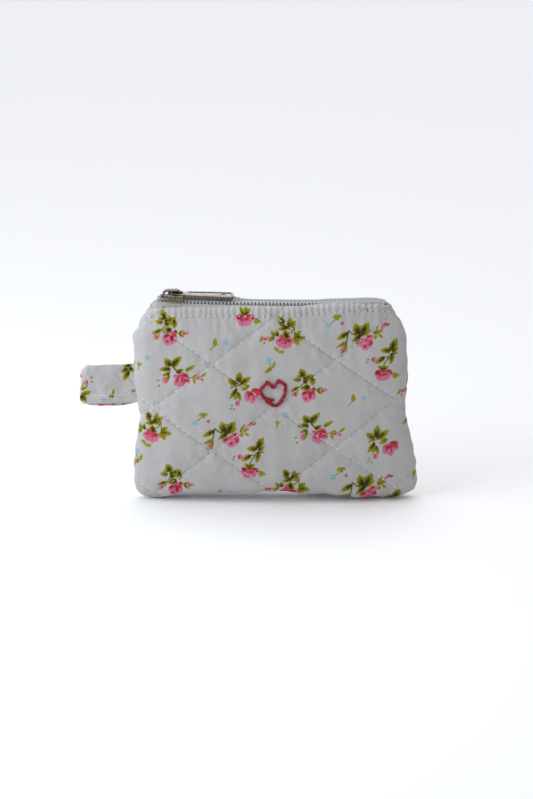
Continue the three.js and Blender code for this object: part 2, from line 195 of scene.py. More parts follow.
def sheet_shell(outer, inner, step, flip):
    """A closed skin: a fine outer grid, an inner grid step times coarser, and the rim between."""
    rows, columns = outer.shape[:2]
    inner_rows, inner_columns = inner.shape[:2]
    start = rows * columns
    faces = quads(rows, columns, 0, flip) + quads(inner_rows, inner_columns, start, not flip)

    def rim(fine, coarse, reverse):
        for k in range(len(coarse) - 1):
            face = list(fine[k * step:(k + 1) * step + 1]) + [coarse[k + 1], coarse[k]]
            faces.append(face[::-1] if reverse != flip else face)

    fine = np.arange(start).reshape(rows, columns)
    coarse = start + np.arange(inner_rows * inner_columns).reshape(inner_rows, inner_columns)
    rim(fine[0].tolist(), coarse[0].tolist(), True)
    rim(fine[-1].tolist(), coarse[-1].tolist(), False)
    rim(fine[:, 0].tolist(), coarse[:, 0].tolist(), False)
    rim(fine[:, -1].tolist(), coarse[:, -1].tolist(), True)
    return np.concatenate([outer.reshape(-1, 3), inner.reshape(-1, 3)]), faces


def tube(path, radius, sides=6, scale=None):
    """Points and faces of a round tube along path, closed at both ends."""
    path = np.asarray(path, float)
    along = np.gradient(path, axis=0)
    along /= np.maximum(np.linalg.norm(along, axis=1, keepdims=True), 1e-9)
    reference = np.where(np.abs(along[:, 2:]) < 0.9, [[0, 0, 1.0]], [[1.0, 0, 0]])
    first = np.cross(reference, along)
    first /= np.linalg.norm(first, axis=1, keepdims=True)
    second = np.cross(along, first)
    angle = 2 * math.pi * np.arange(sides) / sides
    size = radius * (np.ones(len(path)) if scale is None else np.asarray(scale, float))
    ring = first[:, None] * np.cos(angle)[:, None] + second[:, None] * np.sin(angle)[:, None]
    points = path[:, None] + ring * size[:, None, None]
    faces = quads(len(path), sides, around=True)
    last = (len(path) - 1) * sides
    faces.append(list(range(sides))[::-1])
    faces.append([last + k for k in range(sides)])
    return points.reshape(-1, 3), faces


def joined(parts):
    """Several (points, faces) as one."""
    points, faces, start = [], [], 0
    for part_points, part_faces in parts:
        points.append(part_points)
        faces += [[i + start for i in face] for face in part_faces]
        start += len(part_points)
    return np.concatenate(points), faces


# ---- a wall of the pouch: a grid from the bottom seam, over the base and up the face ----

HEEL_Z = 2.4  # where the base turns up into the face
PATH_HEIGHTS = (5, 9, 14, 20, 28, 38, 48, 58, 66, 73, 78, 81.5, 84.2)
# The cloth turned in along the zip, from the face's top edge: how far in, how high, and the tuck.
TURN_IN = ((0.12, 0.4, 0.1), (0.5, 0.6, 0.4), (0.85, 0.35, 0.8), (0.95, -0.4, 1.0), (0.95, -2.4, 1.0))
ARCH_TOP, RISE_FOOT = 14, 50  # the heights where the base's arch ends and the top's rise begins


def wall(label, inset, top, rows, columns, folded=False, seam_clear=0.0):
    """Points and cloth coordinates of one wall, moved in by inset. Its path up the middle is in
    (distance out, height, tuck), where the tuck draws the ends of a row in. A folded wall has
    the turn-in along the zip, and seam_clear keeps a layer off the bottom seam."""
    side = SIDES[label]
    seam = side * SEAM_Y + SEAM_GAP / 2 + seam_clear
    base = [(seam, 1.2), (seam + 0.35, 0.4), (seam + 1.1, 0.0), (4.2 - inset, 0.0), (5.9 - inset, 0.6)]
    path = [(q, z + inset, 0) for q, z in base]
    path.append((float(half_depth(HEEL_Z)) - inset, HEEL_Z + inset, 0))
    path += [(float(half_depth(z)) - inset, z, 0) for z in PATH_HEIGHTS if inset + 2 < z < top - 0.8]
    edge = float(half_depth(top)) - inset
    path.append((edge, top, 0))
    if folded:
        path += [(edge - inward, top + rise, tuck) for inward, rise, tuck in TURN_IN]
    path = np.array(path)
    step = distance_along(path[:, :2])
    dense = np.linspace(0, step[-1], 1200)
    smooth_path = np.stack([curve_through(np.stack([step, path[:, k]], 1))(dense) for k in range(3)], 1)
    length = distance_along(smooth_path[:, :2])
    at = np.linspace(0, length[-1], rows)
    q, z, tuck = (np.interp(at, length, smooth_path[:, k]) for k in range(3))
    v_line = at - length[np.argmax(smooth_path[:, 1] > DATUM_Z)] + DATUM_Z

    half = columns // 2
    theta = math.pi / 2 * np.linspace(0, 1, 500)
    points = np.zeros((rows, columns, 3))
    u = np.zeros((rows, columns))
    for r in range(rows):
        section_z = min(max(z[r] - inset * (z[r] < 3 + inset), 0), FOLD_Z)
        power = 2 / float(squareness(section_z))
        for reach, sign in ((left_reach, -1), (right_reach, 1)):
            extent = float(reach(section_z)) - inset - tuck[r]
            x = extent * np.sin(theta) ** power
            share = np.cos(theta) ** power
            y = SEAM_Y * (1 - share) + side * q[r] * share
            run = distance_along(np.stack([x, y], 1))
            stops = np.linspace(0, run[-1], half + 1)
            x_at, y_at = np.interp(stops, run, x), np.interp(stops, run, y)
            where = slice(half, None) if sign > 0 else slice(half, None, -1)
            points[r, where, 0] = sign * x_at
            points[r, where, 1] = y_at
            u[r, where] = sign * stops
    x = points[..., 0]
    z_grid = np.repeat(z[:, None], columns, 1)
    lift = bottom_arch(x) * np.clip(1 - z_grid / ARCH_TOP, 0, 1) ** 2
    lift += top_rise[label](x) * np.clip((z_grid - RISE_FOOT) / (FOLD_Z - RISE_FOOT), 0, 1) ** 1.5
    points[..., 2] = z_grid + lift
    v = v_line[:, None] + lift
    return points, u, v


def grid_lookup(grid, u, v):
    """A grid's values at cloth coordinates (u, v), its last two, between its nearest points."""
    rows, columns = grid.shape[:2]
    column = columns / 2
    for _ in range(4):
        row = np.interp(v, grid[:, int(round(column)), 7], np.arange(rows))
        column = np.interp(u, grid[int(round(row)), :, 6], np.arange(columns))
    r, c = min(int(row), rows - 2), min(int(column), columns - 2)
    a, b = row - r, column - c
    return (grid[r, c] * (1 - a) * (1 - b) + grid[r + 1, c] * a * (1 - b)
            + grid[r, c + 1] * (1 - a) * b + grid[r + 1, c + 1] * a * b)


# ---- the quilted relief ----


def line_distances(u, v, family):
    """Distance to the nearest line of a family of parallel lines, and how far along them."""
    slope, heights = family
    scale = math.hypot(1, slope)
    offsets = [(v - slope * u - height) / scale for height in heights]
    nearest = np.min(np.abs(offsets), axis=0)
    return nearest, (u + slope * v) / scale


CREASE_DEPTH, PUFF_HEIGHT, ROW_DEPTH, SEAM_DEPTH = 0.26, 0.95, 0.42, 0.95
RELIEF_SEED = {"front": 3, "back": 31}
ROW_EDGE = -0.4  # below this, beside the row along the zip, its gathers are fainter


def quilt_relief(u, v, reach_u, label):
    """How far the batting and the stitches move the cloth out or in, at each (u, v)."""
    seed = RELIEF_SEED[label]
    relief = np.zeros(u.shape)
    puff = np.ones(u.shape)
    for k, family in enumerate((FALLING, RISING)):  # the quilting lines and the ripples beside them
        distance, along = line_distances(u, v, family)
        puff *= 1 - 0.86 * np.exp(-distance / 2.5)
        relief -= CREASE_DEPTH * np.exp(-(distance / 0.4) ** 2)
        ripple = waves(along, along * 0, seed + k, 1.7, 4.5)
        relief += 0.06 * ripple * np.exp(-distance / 2.0) * smooth(distance / 0.9)
        relief += 0.11 * waves(along, distance, seed + 5 + k, 4, 9) * np.exp(-distance / 5)
    relief += PUFF_HEIGHT * (puff - 0.6) * (1 - 0.75 * smooth((v - 74) / 8))

    row = v - top_row[label](u)  # the stitched row along the zip, its swell, gathers and holes
    relief -= ROW_DEPTH * np.exp(-(row / 0.8) ** 2)
    relief += 0.18 * smooth((row - 0.5) / 1.5) * smooth((5.5 - row) / 2)
    gather = np.cos(2 * math.pi * u / STITCH + 0.9 * waves(u, u * 0, seed + 9, 8, 30))
    relief += 0.19 * gather * np.exp(-np.abs(row - 1.6) / 1.8) * (row > ROW_EDGE)
    holes = np.exp(-((np.mod(u - TOP_FIRST, STITCH) - 1.3) / 0.3) ** 2)
    relief -= 0.5 * holes * np.exp(-(row / 0.42) ** 2)
    relief += 0.09 * gather * np.exp(-np.abs(row) / 1.2) * (row <= ROW_EDGE)

    streaks = waves(u, v, seed + 10, 2.6, 7, squeeze=0.12)  # the cloth's own creases, large and small
    relief += 0.08 * streaks * np.exp(-np.abs(row + 4) / 5)
    relief += 0.14 * waves(u, v, seed + 12, 8, 22, squeeze=0.45)
    relief += 0.24 * waves(u, v, seed + 13, 22, 60)
    relief += 0.012 * waves(u, v, seed + 14, 1.8, 4, squeeze=0.5)

    to_seam = np.maximum(reach_u - np.abs(u), 0)  # the side seams draw it in, and so does the hem
    relief *= 0.35 + 0.65 * smooth(to_seam / 7)
    relief += 0.2 * waves(v, v * 0 + np.sign(u) * 9, seed + 15, 3.5, 9) * np.exp(-to_seam / 6)
    relief -= SEAM_DEPTH * np.exp(-(to_seam / 0.9) ** 2)
    hem = np.clip(v, -20, 20)
    relief += 0.16 * waves(u, u * 0, seed + 16, 4, 11) * np.exp(-np.abs(hem - 1) / 5)
    return relief


# ---- the print: rose sprigs drawn as signed fields over the cloth ----


class Print:
    """Three inks, each a field that is positive inside its shapes, and their two shadings."""

    def __init__(self, u, v):
        self.u, self.v = u.ravel(), v.ravel()
        self.ink = np.full((3, self.u.size), -1.0)
        self.deep = np.zeros((2, self.u.size))

    def at(self, u, v, reach=17):
        """Draw from here on around this place, within reach of it."""
        self.near = np.flatnonzero((np.abs(self.u - u) < reach) & (np.abs(self.v - v) < reach))
        self.x = self.u[self.near] - u
        self.y = self.v[self.near] - v
        return self.near.size > 0

    def lay(self, ink, field, deep):
        now = self.ink[ink, self.near]
        inside = field > now
        self.ink[ink, self.near] = np.where(inside, field, now)
        if ink < 2:
            shade = self.deep[ink, self.near]
            self.deep[ink, self.near] = np.where(inside, deep, shade)

    def leaf(self, base, tip, width, teeth=0, deep=0.55):
        """A pointed leaf from base to tip, with teeth cut in its edges and a dark middle."""
        dx, dy = tip[0] - base[0], tip[1] - base[1]
        length = math.hypot(dx, dy)
        t = ((self.x - base[0]) * dx + (self.y - base[1]) * dy) / length ** 2
        across = ((self.y - base[1]) * dx - (self.x - base[0]) * dy) / length
        inside = np.clip(t, 0, 1)
        half = 0.66 * width * np.sin(math.pi * inside ** 0.72) ** 0.75
        if teeth:
            bite = (inside * (teeth + 1.2) + np.where(across > 0, 0.15, 0.5)) % 1
            half *= 1.15 - 0.5 * bite * smooth(inside * 4)
        field = np.minimum(half - np.abs(across), 0.6) - np.abs(t - inside) * length * 1.2
        speck = 0.5 + 0.5 * np.sin(self.x * 3.9 + 2 * np.sin(self.y * 2.7)) * np.cos(self.y * 3.3)
        middle = (across - 0.12 * width * (speck - 0.3)) / (0.36 * width)
        shade = np.exp(-middle ** 2) * smooth((0.95 - inside) / 0.7)
        self.lay(0, field, np.clip(deep * (1.25 * shade * (0.55 + 0.6 * speck) + 0.15 * speck), 0, 1))

    def leaves(self, *rows):
        """Several leaves in turn, each as its base, its tip and the rest of what leaf() takes."""
        for x0, y0, x1, y1, *rest in rows:
            self.leaf((x0, y0), (x1, y1), *rest)

    def stroke(self, ink, points, width, deep=0.35):
        field = np.full(self.x.size, -1.0)
        for (ax, ay), (bx, by) in zip(points, points[1:]):
            dx, dy = bx - ax, by - ay
            t = np.clip(((self.x - ax) * dx + (self.y - ay) * dy) / (dx * dx + dy * dy), 0, 1)
            field = np.maximum(field, width / 2 - np.hypot(self.x - ax - t * dx, self.y - ay - t * dy))
        self.lay(ink, field, np.full(self.x.size, 0.6 * deep))

    def dash(self, at, degrees, length=1.3, width=0.65):
        turn = math.radians(degrees)
        dx, dy = 0.5 * length * math.cos(turn), 0.5 * length * math.sin(turn)
        self.leaf((at[0] - dx, at[1] - dy), (at[0] + dx, at[1] + dy), width, deep=0.1)

    def oval(self, ink, at, radii, degrees=0, deep=None):
        turn = math.radians(degrees)
        x = (self.x - at[0]) * math.cos(turn) + (self.y - at[1]) * math.sin(turn)
        y = (self.y - at[1]) * math.cos(turn) - (self.x - at[0]) * math.sin(turn)
        field = (1 - np.hypot(x / radii[0], y / radii[1])) * min(radii)
        self.lay(ink, field, 0 * x if deep is None else deep(x / radii[0], y / radii[1]))

    def bud(self, at, radii, degrees=0, side=1):
        self.oval(1, at, radii, degrees, lambda x, y: 0.1 + 0.7 * smooth(side * x * 1.3 - 0.2 * np.abs(y)))

    def rose(self, petals, folds):
        """Petals as (x, y, half width, half height), and deeper folds within them that also
        have a lean in degrees and a strength."""
        for x, y, wide, high in petals:
            self.oval(1, (x, y), (wide, high), 0, lambda a, b: 0.1 + 0.18 * smooth(b + 0.3))
        now = self.deep[1, self.near]
        for x, y, wide, high, lean, strength in folds:
            c, s = math.cos(math.radians(lean)), math.sin(math.radians(lean))
            a, b = self.x - x, self.y - y
            away = np.hypot((a * c + b * s) / wide, (b * c - a * s) / high)
            now = now + 1.25 * strength * smooth((1.5 - away) / 1.1) * (1 - 0.4 * now)
        streaks = 0.5 + 0.5 * np.sin(7 * np.arctan2(self.y - 3, self.x * 2.2) + 1.3 * self.y)
        self.deep[1, self.near] = np.clip(now * (0.8 + 0.35 * streaks), 0, 1)

    def blossom(self, at, radius=1.45, turn=0.3):
        for k in range(5):
            c, s = math.cos(turn + 2 * math.pi * k / 5), math.sin(turn + 2 * math.pi * k / 5)
            start = (at[0] + 0.32 * radius * c, at[1] + 0.32 * radius * s)
            end = (at[0] + 0.86 * radius * c, at[1] + 0.86 * radius * s)
            self.stroke(2, (start, end), 0.36 * radius)

    def fields(self):
        """The two colour attributes that the cloth's material reads."""
        ink = np.clip(0.5 + self.ink / 1.2, 0, 1)
        flat = np.ones(self.u.size)
        return np.stack([*ink, flat], 1), np.stack([*self.deep, 0 * flat, flat], 1)


def sprig_nodding(p):
    p.stroke(0, ((-2.6, 9.3), (-2.2, 5.7), (0.4, 2.3)), 0.6, 0.8)
    p.leaves((-2.2, 7.9, -3.7, 11.4, 2.9, 2, 0.75), (-3.2, 6.6, -6.7, 6.5, 2.0, 2, 0.5),
             (-3.2, 7.6, -5.2, 8.5, 0.9), (-2.4, 6.8, 2.5, 8.5, 2.2, 3, 0.6),
             (1.2, 7.8, 1.8, 3.8, 2.4, 2, 0.6), (-2.4, 5.3, 0.5, 6.9, 2.0, 2, 0.8))
    p.rose(((-0.3, -0.3, 2.9, 2.4), (-0.9, -1.9, 1.8, 1.5), (1.5, -0.5, 1.4, 1.7), (1.3, 1.6, 1.5, 1.1),
            (2.1, 2.5, 0.8, 0.85)),
           ((0.5, -0.1, 0.55, 1.4, 0, 0.8), (-2, 0.6, 0.8, 0.5, 20, 0.6), (-1.3, -1.7, 0.45, 0.4, 0, 0.8),
            (-0.6, 1.2, 1.1, 0.4, 10, 0.4), (1.7, 1.1, 0.6, 0.6, 0, 0.6), (2.1, 2.6, 0.6, 0.6, 0, 0.9)))
    p.leaf((0.4, 3.6), (-3.6, 2.4), 2.4, 2, 0.95)
    p.stroke(0, ((-2, 5.2), (-4.3, 2.6), (-5.4, -0.8)), 0.65, 0.2)
    p.leaf((-4.0, 3.1), (-7.9, 1.3), 1.4, 0, 0.7)
    p.bud((-6.2, 0.2), (0.95, 1.25), 0)
    p.stroke(0, ((2.6, 2.2), (4.2, 1.7)), 0.6)
    p.leaves((3.4, 1.9, 5.8, 3.4, 1.0), (3.4, 1.6, 5.8, 0.3, 1.1))
    p.bud((6.4, 2), (1.35, 0.85), 12, -1)


def sprig_crowned(p):
    p.leaves((-0.4, 7.4, -2.4, 10.6, 2.4, 2, 0.9), (2.2, 6.0, 2.3, 10.0, 2.5, 2, 0.6),
             (2.6, 6.2, 4.7, 8.7, 1.9, 2, 0.6), (1.6, 6.0, -2.9, 4.9, 1.9, 2, 0.8),
             (0.2, 6.2, -2.9, 7.9, 1.5, 2, 0.7), (0.8, 6.9, 3.9, 5.2, 2.2, 2, 0.95))
    p.stroke(0, ((4.2, 6.1), (2.6, 3.4)), 0.55, 0.7)
    p.stroke(0, ((4.2, 6.1), (4.2, 2.2)), 0.5, 0.7)
    p.leaves((4.2, 2.4, 7.1, 4.3, 1.9, 3, 0.5), (4.2, 1.8, 8.8, 1.4, 2.3, 3, 0.6),
             (4.2, 2.0, 5.8, -1.8, 2.5, 2, 0.4), (-4.2, 2.3, -5.7, 4.5, 1.3, 0, 0.5),
             (-3.0, 2.0, -3.3, 4.8, 1.5, 0, 0.95))
    p.rose(((0, -0.1, 3.3, 2.1), (-2.6, -0.2, 1.3, 1.3), (2.6, 0, 1.25, 1.2), (-0.7, 1.4, 1.8, 1.6),
            (-1.8, -1.7, 1.15, 1.1), (0.1, -2.3, 1.25, 1.2), (1.8, -1.7, 1.15, 1.1)),
           ((-1.6, 0.8, 0.3, 0.9, -20, 0.6), (-0.7, 0.6, 0.25, 1.1, 0, 0.5), (0.2, 0.3, 0.3, 1, 15, 0.6),
            (1.4, 0.6, 0.45, 1.2, 30, 0.8), (0.6, -0.6, 0.8, 0.3, 30, 0.5), (-1, -0.7, 0.9, 0.25, -20, 0.4),
            (2.3, 0.4, 0.35, 0.8, 40, 0.4), (-2.4, 0.3, 0.4, 0.5, 0, 0.4), (0.4, 2, 1, 0.5, 0, 0.5)))
    for tip in ((-0.6, 4.3), (0.4, 5.2), (2.0, 4.1), (2.6, 1.9)):
        p.leaf((0.6, 1.9), tip, 1.4, 2, 0.9)
    p.bud((-7.2, 1.2), (1.5, 0.9), 15, -1)
    p.leaves((-4.2, 2.1, -6.9, -0.2, 1.5, 0, 0.5), (-9.2, 0.4, -9.6, 2.3, 1.1, 0, 0.2),
             (-9.2, 0.6, -10.7, 0.2, 1.0, 0, 0.2))
    p.dash((-8.4, -0.8), 60, 1.4, 0.8)
    p.leaves((-3.0, -2.8, -4.8, -3.3, 1.0, 0, 0.15), (-3.0, -2.8, -3.2, -4.8, 1.1, 0, 0.15),
             (-1.3, -3.9, -2.5, -5.4, 1.1, 0, 0.15), (-1.3, -3.9, -0.5, -5.6, 1.1, 0, 0.15))


def sprig_arching(p):
    p.stroke(0, ((-2.4, 3.0), (-5.4, 4.0), (-6.9, 5.5), (-7.4, 2.3), (-8.0, -0.2)), 0.6, 0.85)
    p.leaves((-2.4, 3.8, -4.3, 8.5, 3.5, 3, 0.85), (-1.6, 4.0, 1.6, 8.8, 3.3, 3, 0.85),
             (-1.6, 3.6, 2.4, 5.6, 2.3, 3, 0.6), (-1.5, 3.6, -5.5, 0.4, 2.1, 2, 0.95),
             (-7.0, 4.6, -11.9, 1.7, 1.9, 0, 0.8), (-7.8, 0.6, -12.4, -2.1, 1.3, 2, 0.4))
    p.bud((-9.3, -2.8), (1.0, 1.9), -18)
    p.leaf((-7.9, 0.2), (-8.4, -4.7), 1.2, 2, 0.4)
    p.dash((-9.6, -5.5), 50, 1.2)
    p.rose(((-2.2, -0.2, 1.8, 1.5), (0, -1.5, 1.8, 1.8), (1.6, 0, 1.9, 2.0), (1.8, 2.0, 1.7, 1.4),
            (0.2, 0.5, 2.3, 1.9), (2.8, 2.6, 0.9, 0.8)),
           ((-2.4, 0.3, 0.9, 0.5, 30, 0.8), (2.1, -0.5, 0.9, 0.35, 20, 0.7), (2.6, 0.4, 0.35, 0.8, 0, 0.7),
            (1.5, 0.6, 0.5, 0.3, 0, 0.5), (-0.1, -1.5, 0.55, 0.55, 0, 0.8), (1.6, 2.7, 1, 0.3, 50, 0.9),
            (0.3, 0.9, 0.5, 0.4, 0, 0.5)))
    p.leaves((3.5, 3.6, 6.0, 7.9, 0.9, 0, 0.3), (3.6, 3.8, 7.8, 5.4, 1.4, 0, 0.4))
    p.bud((7.8, 7.0), (1.9, 0.85), 42, 1)
    p.leaves((8.8, 7.0, 10.5, 8.0, 0.9), (4.4, 3.3, 4.3, 1.3, 1.3, 0, 0.2),
             (5.6, 3.4, 7.7, 2.0, 0.9, 0, 0.2))


def sprig_tall(p):
    p.stroke(0, ((0.3, 4.0), (2.0, 7.2), (3.4, 8.9)), 0.5, 0.85)
    p.leaves((3.3, 10.6, 5.8, 15.5, 2.9, 2, 0.85), (3.2, 10.4, -1.2, 10.4, 2.5, 3, 0.7),
             (3.6, 9.7, 6.4, 11.5, 2.0, 2, 0.7), (3.8, 9.2, 3.0, 4.0, 2.1, 2, 0.7),
             (3.8, 8.8, 6.8, 8.9, 0.7))
    p.stroke(0, ((2.2, 7.6), (-0.2, 7.4)), 0.5, 0.8)
    p.leaf((0.6, 7.6), (-3.4, 4.6), 1.9, 0, 0.75)
    p.bud((-3.8, 6.6), (1.15, 1.2), 0, -1)
    p.dash((-6.3, 6.7), 25)
    p.dash((-6.8, 5.5), 30)
    p.rose(((-2, 0.4, 1.7, 1.7), (0, -1.1, 3.0, 1.9), (2.3, 0.7, 1.7, 1.4), (0, 0.3, 2.0, 1.5),
            (-1.2, -1.7, 1.5, 1.2), (3.4, 0.2, 0.7, 0.7)),
           ((-2.3, 0.8, 0.9, 0.9, 0, 0.8), (2.1, 1.2, 1, 0.45, -15, 0.7), (3.2, 0.3, 0.5, 0.4, -40, 0.7),
            (0.2, -0.1, 0.7, 0.4, 0, 0.6), (-1.1, -0.3, 0.4, 0.6, 0, 0.6), (1.2, 0, 0.4, 0.5, 0, 0.5),
            (0, 1.5, 1.2, 0.4, 0, 0.6)))
    for tip in ((-2.3, 4.0), (0.5, 4.6), (2.5, 3.7)):
        p.leaf((0, 1.8), tip, 1.3, 2, 0.65)
    p.leaves((4.1, -0.5, 6.8, -1.0, 1.5, 0, 0.2), (4.1, -0.5, 5.4, 0.5, 1.2, 0, 0.2),
             (4.2, -0.2, 5.1, -2.3, 1.3, 0, 0.2))


def sprig_spread(p):
    p.stroke(0, ((-4.2, 6.4), (-1.6, 3.4)), 0.7, 0.9)
    p.leaves((-4.5, 6.0, -7.0, 9.4, 2.9, 2, 0.8), (-3.8, 6.4, 0.1, 10.6, 2.5, 3, 0.8),
             (-3.7, 6.1, -1.1, 7.2, 1.8, 2, 0.6), (-4.6, 4.9, -9.4, 4.2, 1.9, 0, 0.8),
             (-2.0, 3.0, 0.9, 5.0, 1.9, 2, 0.9), (1.7, 4.1, 5.8, 6.8, 1.6, 3, 0.4))
    p.stroke(0, ((-4.8, 4.6), (-5.6, 1.1)), 0.6, 0.7)
    p.leaf((-4.8, 3.0), (-8.4, 1.4), 1.3, 2, 0.7)
    p.bud((-7.1, -0.4), (1.1, 1.6), 8)
    p.leaf((-5.3, 2.4), (-6.1, -1.5), 1.1)
    p.dash((-9.8, -0.6), 20, 1.7)
    p.dash((-9.4, -2.8), 48, 1.7)
    p.rose(((0.5, 0.2, 2.9, 2.6), (1.1, 2.2, 1.7, 1.3), (-2.4, 1.5, 1.1, 1.0), (-2.2, -1.2, 1.0, 1.6),
            (-0.4, -2.1, 1.3, 1.5), (2.2, -0.4, 1.4, 1.5)),
           ((-1.6, 0.4, 0.3, 1.5, -10, 0.6), (0.3, 0.3, 0.35, 1.3, -20, 0.6), (1.8, 1.9, 1.2, 0.45, -20, 0.7),
            (1.9, -0.1, 1.2, 0.3, -10, 0.7), (0.9, -0.9, 0.9, 0.3, 10, 0.5), (0.2, 2.1, 0.8, 0.3, 30, 0.5)))
    p.stroke(0, ((3.2, 1.1), (4.8, 1.3)), 0.6, 0.2)
    p.leaves((4.6, 1.1, 7.1, 2.6, 1.1, 0, 0.2), (4.9, 1.3, 5.6, -2.0, 1.1, 0, 0.2))
    p.bud((7.0, 1.15), (1.3, 0.9), 0, -1)
    p.leaves((8.2, 1.6, 10.9, 3.8, 1.0, 0, 0.2), (8.1, 0.7, 9.3, 0.0, 0.8))


def sprig_hanging(p):
    p.stroke(0, ((-9.1, 3.0), (-6.9, 4.0), (-3.9, 4.3), (-1.7, 4.0)), 0.7, 0.5)
    p.leaves((-6.8, 4.4, -10.3, 6.9, 2.4, 2, 0.6), (-5.8, 4.6, -5.3, 10.2, 2.9, 3, 0.8),
             (-5.2, 4.6, -0.6, 7.9, 2.4, 3, 0.7), (-1.3, 4.2, -4.7, 1.9, 1.7, 0, 0.45))
    p.stroke(0, ((-6.9, 3.6), (-6.3, 0.6)), 0.5, 0.8)
    p.leaves((-6.6, 2.6, -9.6, -1.9, 1.8, 2, 0.8), (-6.1, 1.2, -7.6, -2.4, 1.2, 0, 0.4),
             (-6.1, 1.2, -5.0, -2.9, 1.4, 0, 0.6))
    p.bud((-6.1, -3.5), (1.0, 1.35), 0, -1)
    p.dash((-8.6, -4.5), 45)
    p.dash((-9.2, -5.9), 45)
    p.dash((-7.8, -6.2), -60)
    p.rose(((-1.3, -0.4, 2.2, 2.3), (0.1, -2.3, 1.1, 1.4), (-2.4, -1.7, 0.95, 1.1), (1.3, 1.5, 2.2, 1.6),
            (2.2, 0.2, 1.3, 1.3), (0.6, 0, 2, 2)),
           ((1.2, 1.9, 1.3, 0.7, 0, 0.55), (-0.5, 0.4, 1.4, 0.6, 10, 0.6), (-1.5, -0.6, 0.3, 1.2, -20, 0.4),
            (0.3, -1.0, 0.3, 1.1, 10, 0.4), (2.2, 0.6, 0.7, 0.7, 0, 0.5)))


def twig_with_blossom(p):
    p.leaf((0, -0.6), (0.1, 3.1), 1.5, 0, 0.2)
    p.stroke(0, ((-0.2, -0.4), (1.1, 0.3)), 0.5, 0.1)
    p.stroke(0, ((0, -0.2), (-2.0, -2.2)), 0.6, 0.1)
    p.blossom((4.4, 1.1))


def blossom_on_stem(p):
    p.stroke(0, ((0, -1.4), (1.0, -3.6), (1.8, -3.2)), 0.5, 0.1)
    p.leaves((1.7, -3.4, 2.3, -0.5, 1.0, 0, 0.2), (1.2, -3.4, -2.0, -5.8, 1.4, 0, 0.3))
    p.blossom((0, 0), 1.5, 0.1)


def blossom_by_twig(p):
    p.blossom((0, 0), 1.5, 0.5)
    p.leaf((-3.6, -4.4), (-4.0, -1.9), 1.0, 0, 0.2)
    p.stroke(0, ((-3.5, -4.1), (-2.4, -2.6)), 0.5, 0.1)
    p.stroke(0, ((-3.6, -4.1), (-4.2, -5.9)), 0.5, 0.1)


def umbel_and_blossom(p):
    p.stroke(0, ((3.3, 3.1), (0.9, 0.9)), 0.55, 0.1)
    for tip in ((1.4, 3.1), (5.3, 3.4), (3.3, 2.0)):
        p.leaf((3.7, 4.3), tip, 1.1, 0, 0.2)
    p.leaf((3.4, 4.0), (4.1, 2.0), 0.7)
    p.blossom((0, 0), 1.45, 0.9)
    p.oval(1, (5.5, 0.85), (0.78, 0.78), 0, lambda x, y: 0.25 + 0 * x)


# Each motif of the repeat and its place, and the repeat's two steps.
MOTIFS = (
    (sprig_nodding, (-41.3, 72.6)),
    (sprig_crowned, (6.3, 71.6)),
    (sprig_arching, (39.9, 70.4)),
    (sprig_tall, (-10.3, 80.8)),
    (sprig_spread, (-36.8, 54.2)),
    (sprig_hanging, (-7.1, 48.2)),
    (twig_with_blossom, (-22.8, 69.8)),
    (blossom_on_stem, (-0.1, 63.5)),
    (blossom_by_twig, (-50.9, 63.4)),
    (umbel_and_blossom, (24.8, 78.2)),
)
REPEAT = ((57.8, -24.3), (1.9, -66.8))


def printed(u, v, shift=(0, 0)):
    """The repeat over a piece of cloth, cut shift away from the front's place in it."""
    canvas = Print(u, v)
    for draw, place in MOTIFS:
        for i in range(-4, 5):
            for j in range(-4, 5):
                if canvas.at(place[0] + shift[0] + i * REPEAT[0][0] + j * REPEAT[1][0],
                             place[1] + shift[1] + i * REPEAT[0][1] + j * REPEAT[1][1]):
                    draw(canvas)
    return canvas


# ---- materials ----


def rgb(red, green, blue):
    """A colour seen on a screen (0 to 255) as linear light."""
    seen = [c / 255 for c in (red, green, blue)]
    return tuple(c / 12.92 if c < 0.0405 else ((c + 0.055) / 1.055) ** 2.4 for c in seen) + (1,)


OLIVE, DARK_OLIVE = rgb(142, 136, 8), rgb(46, 44, 0)
PALE_PINK, ROSE_PINK, DEEP_PINK = rgb(198, 118, 146), rgb(180, 60, 78), rgb(156, 22, 36)
LIGHT_BLUE = rgb(98, 166, 184)


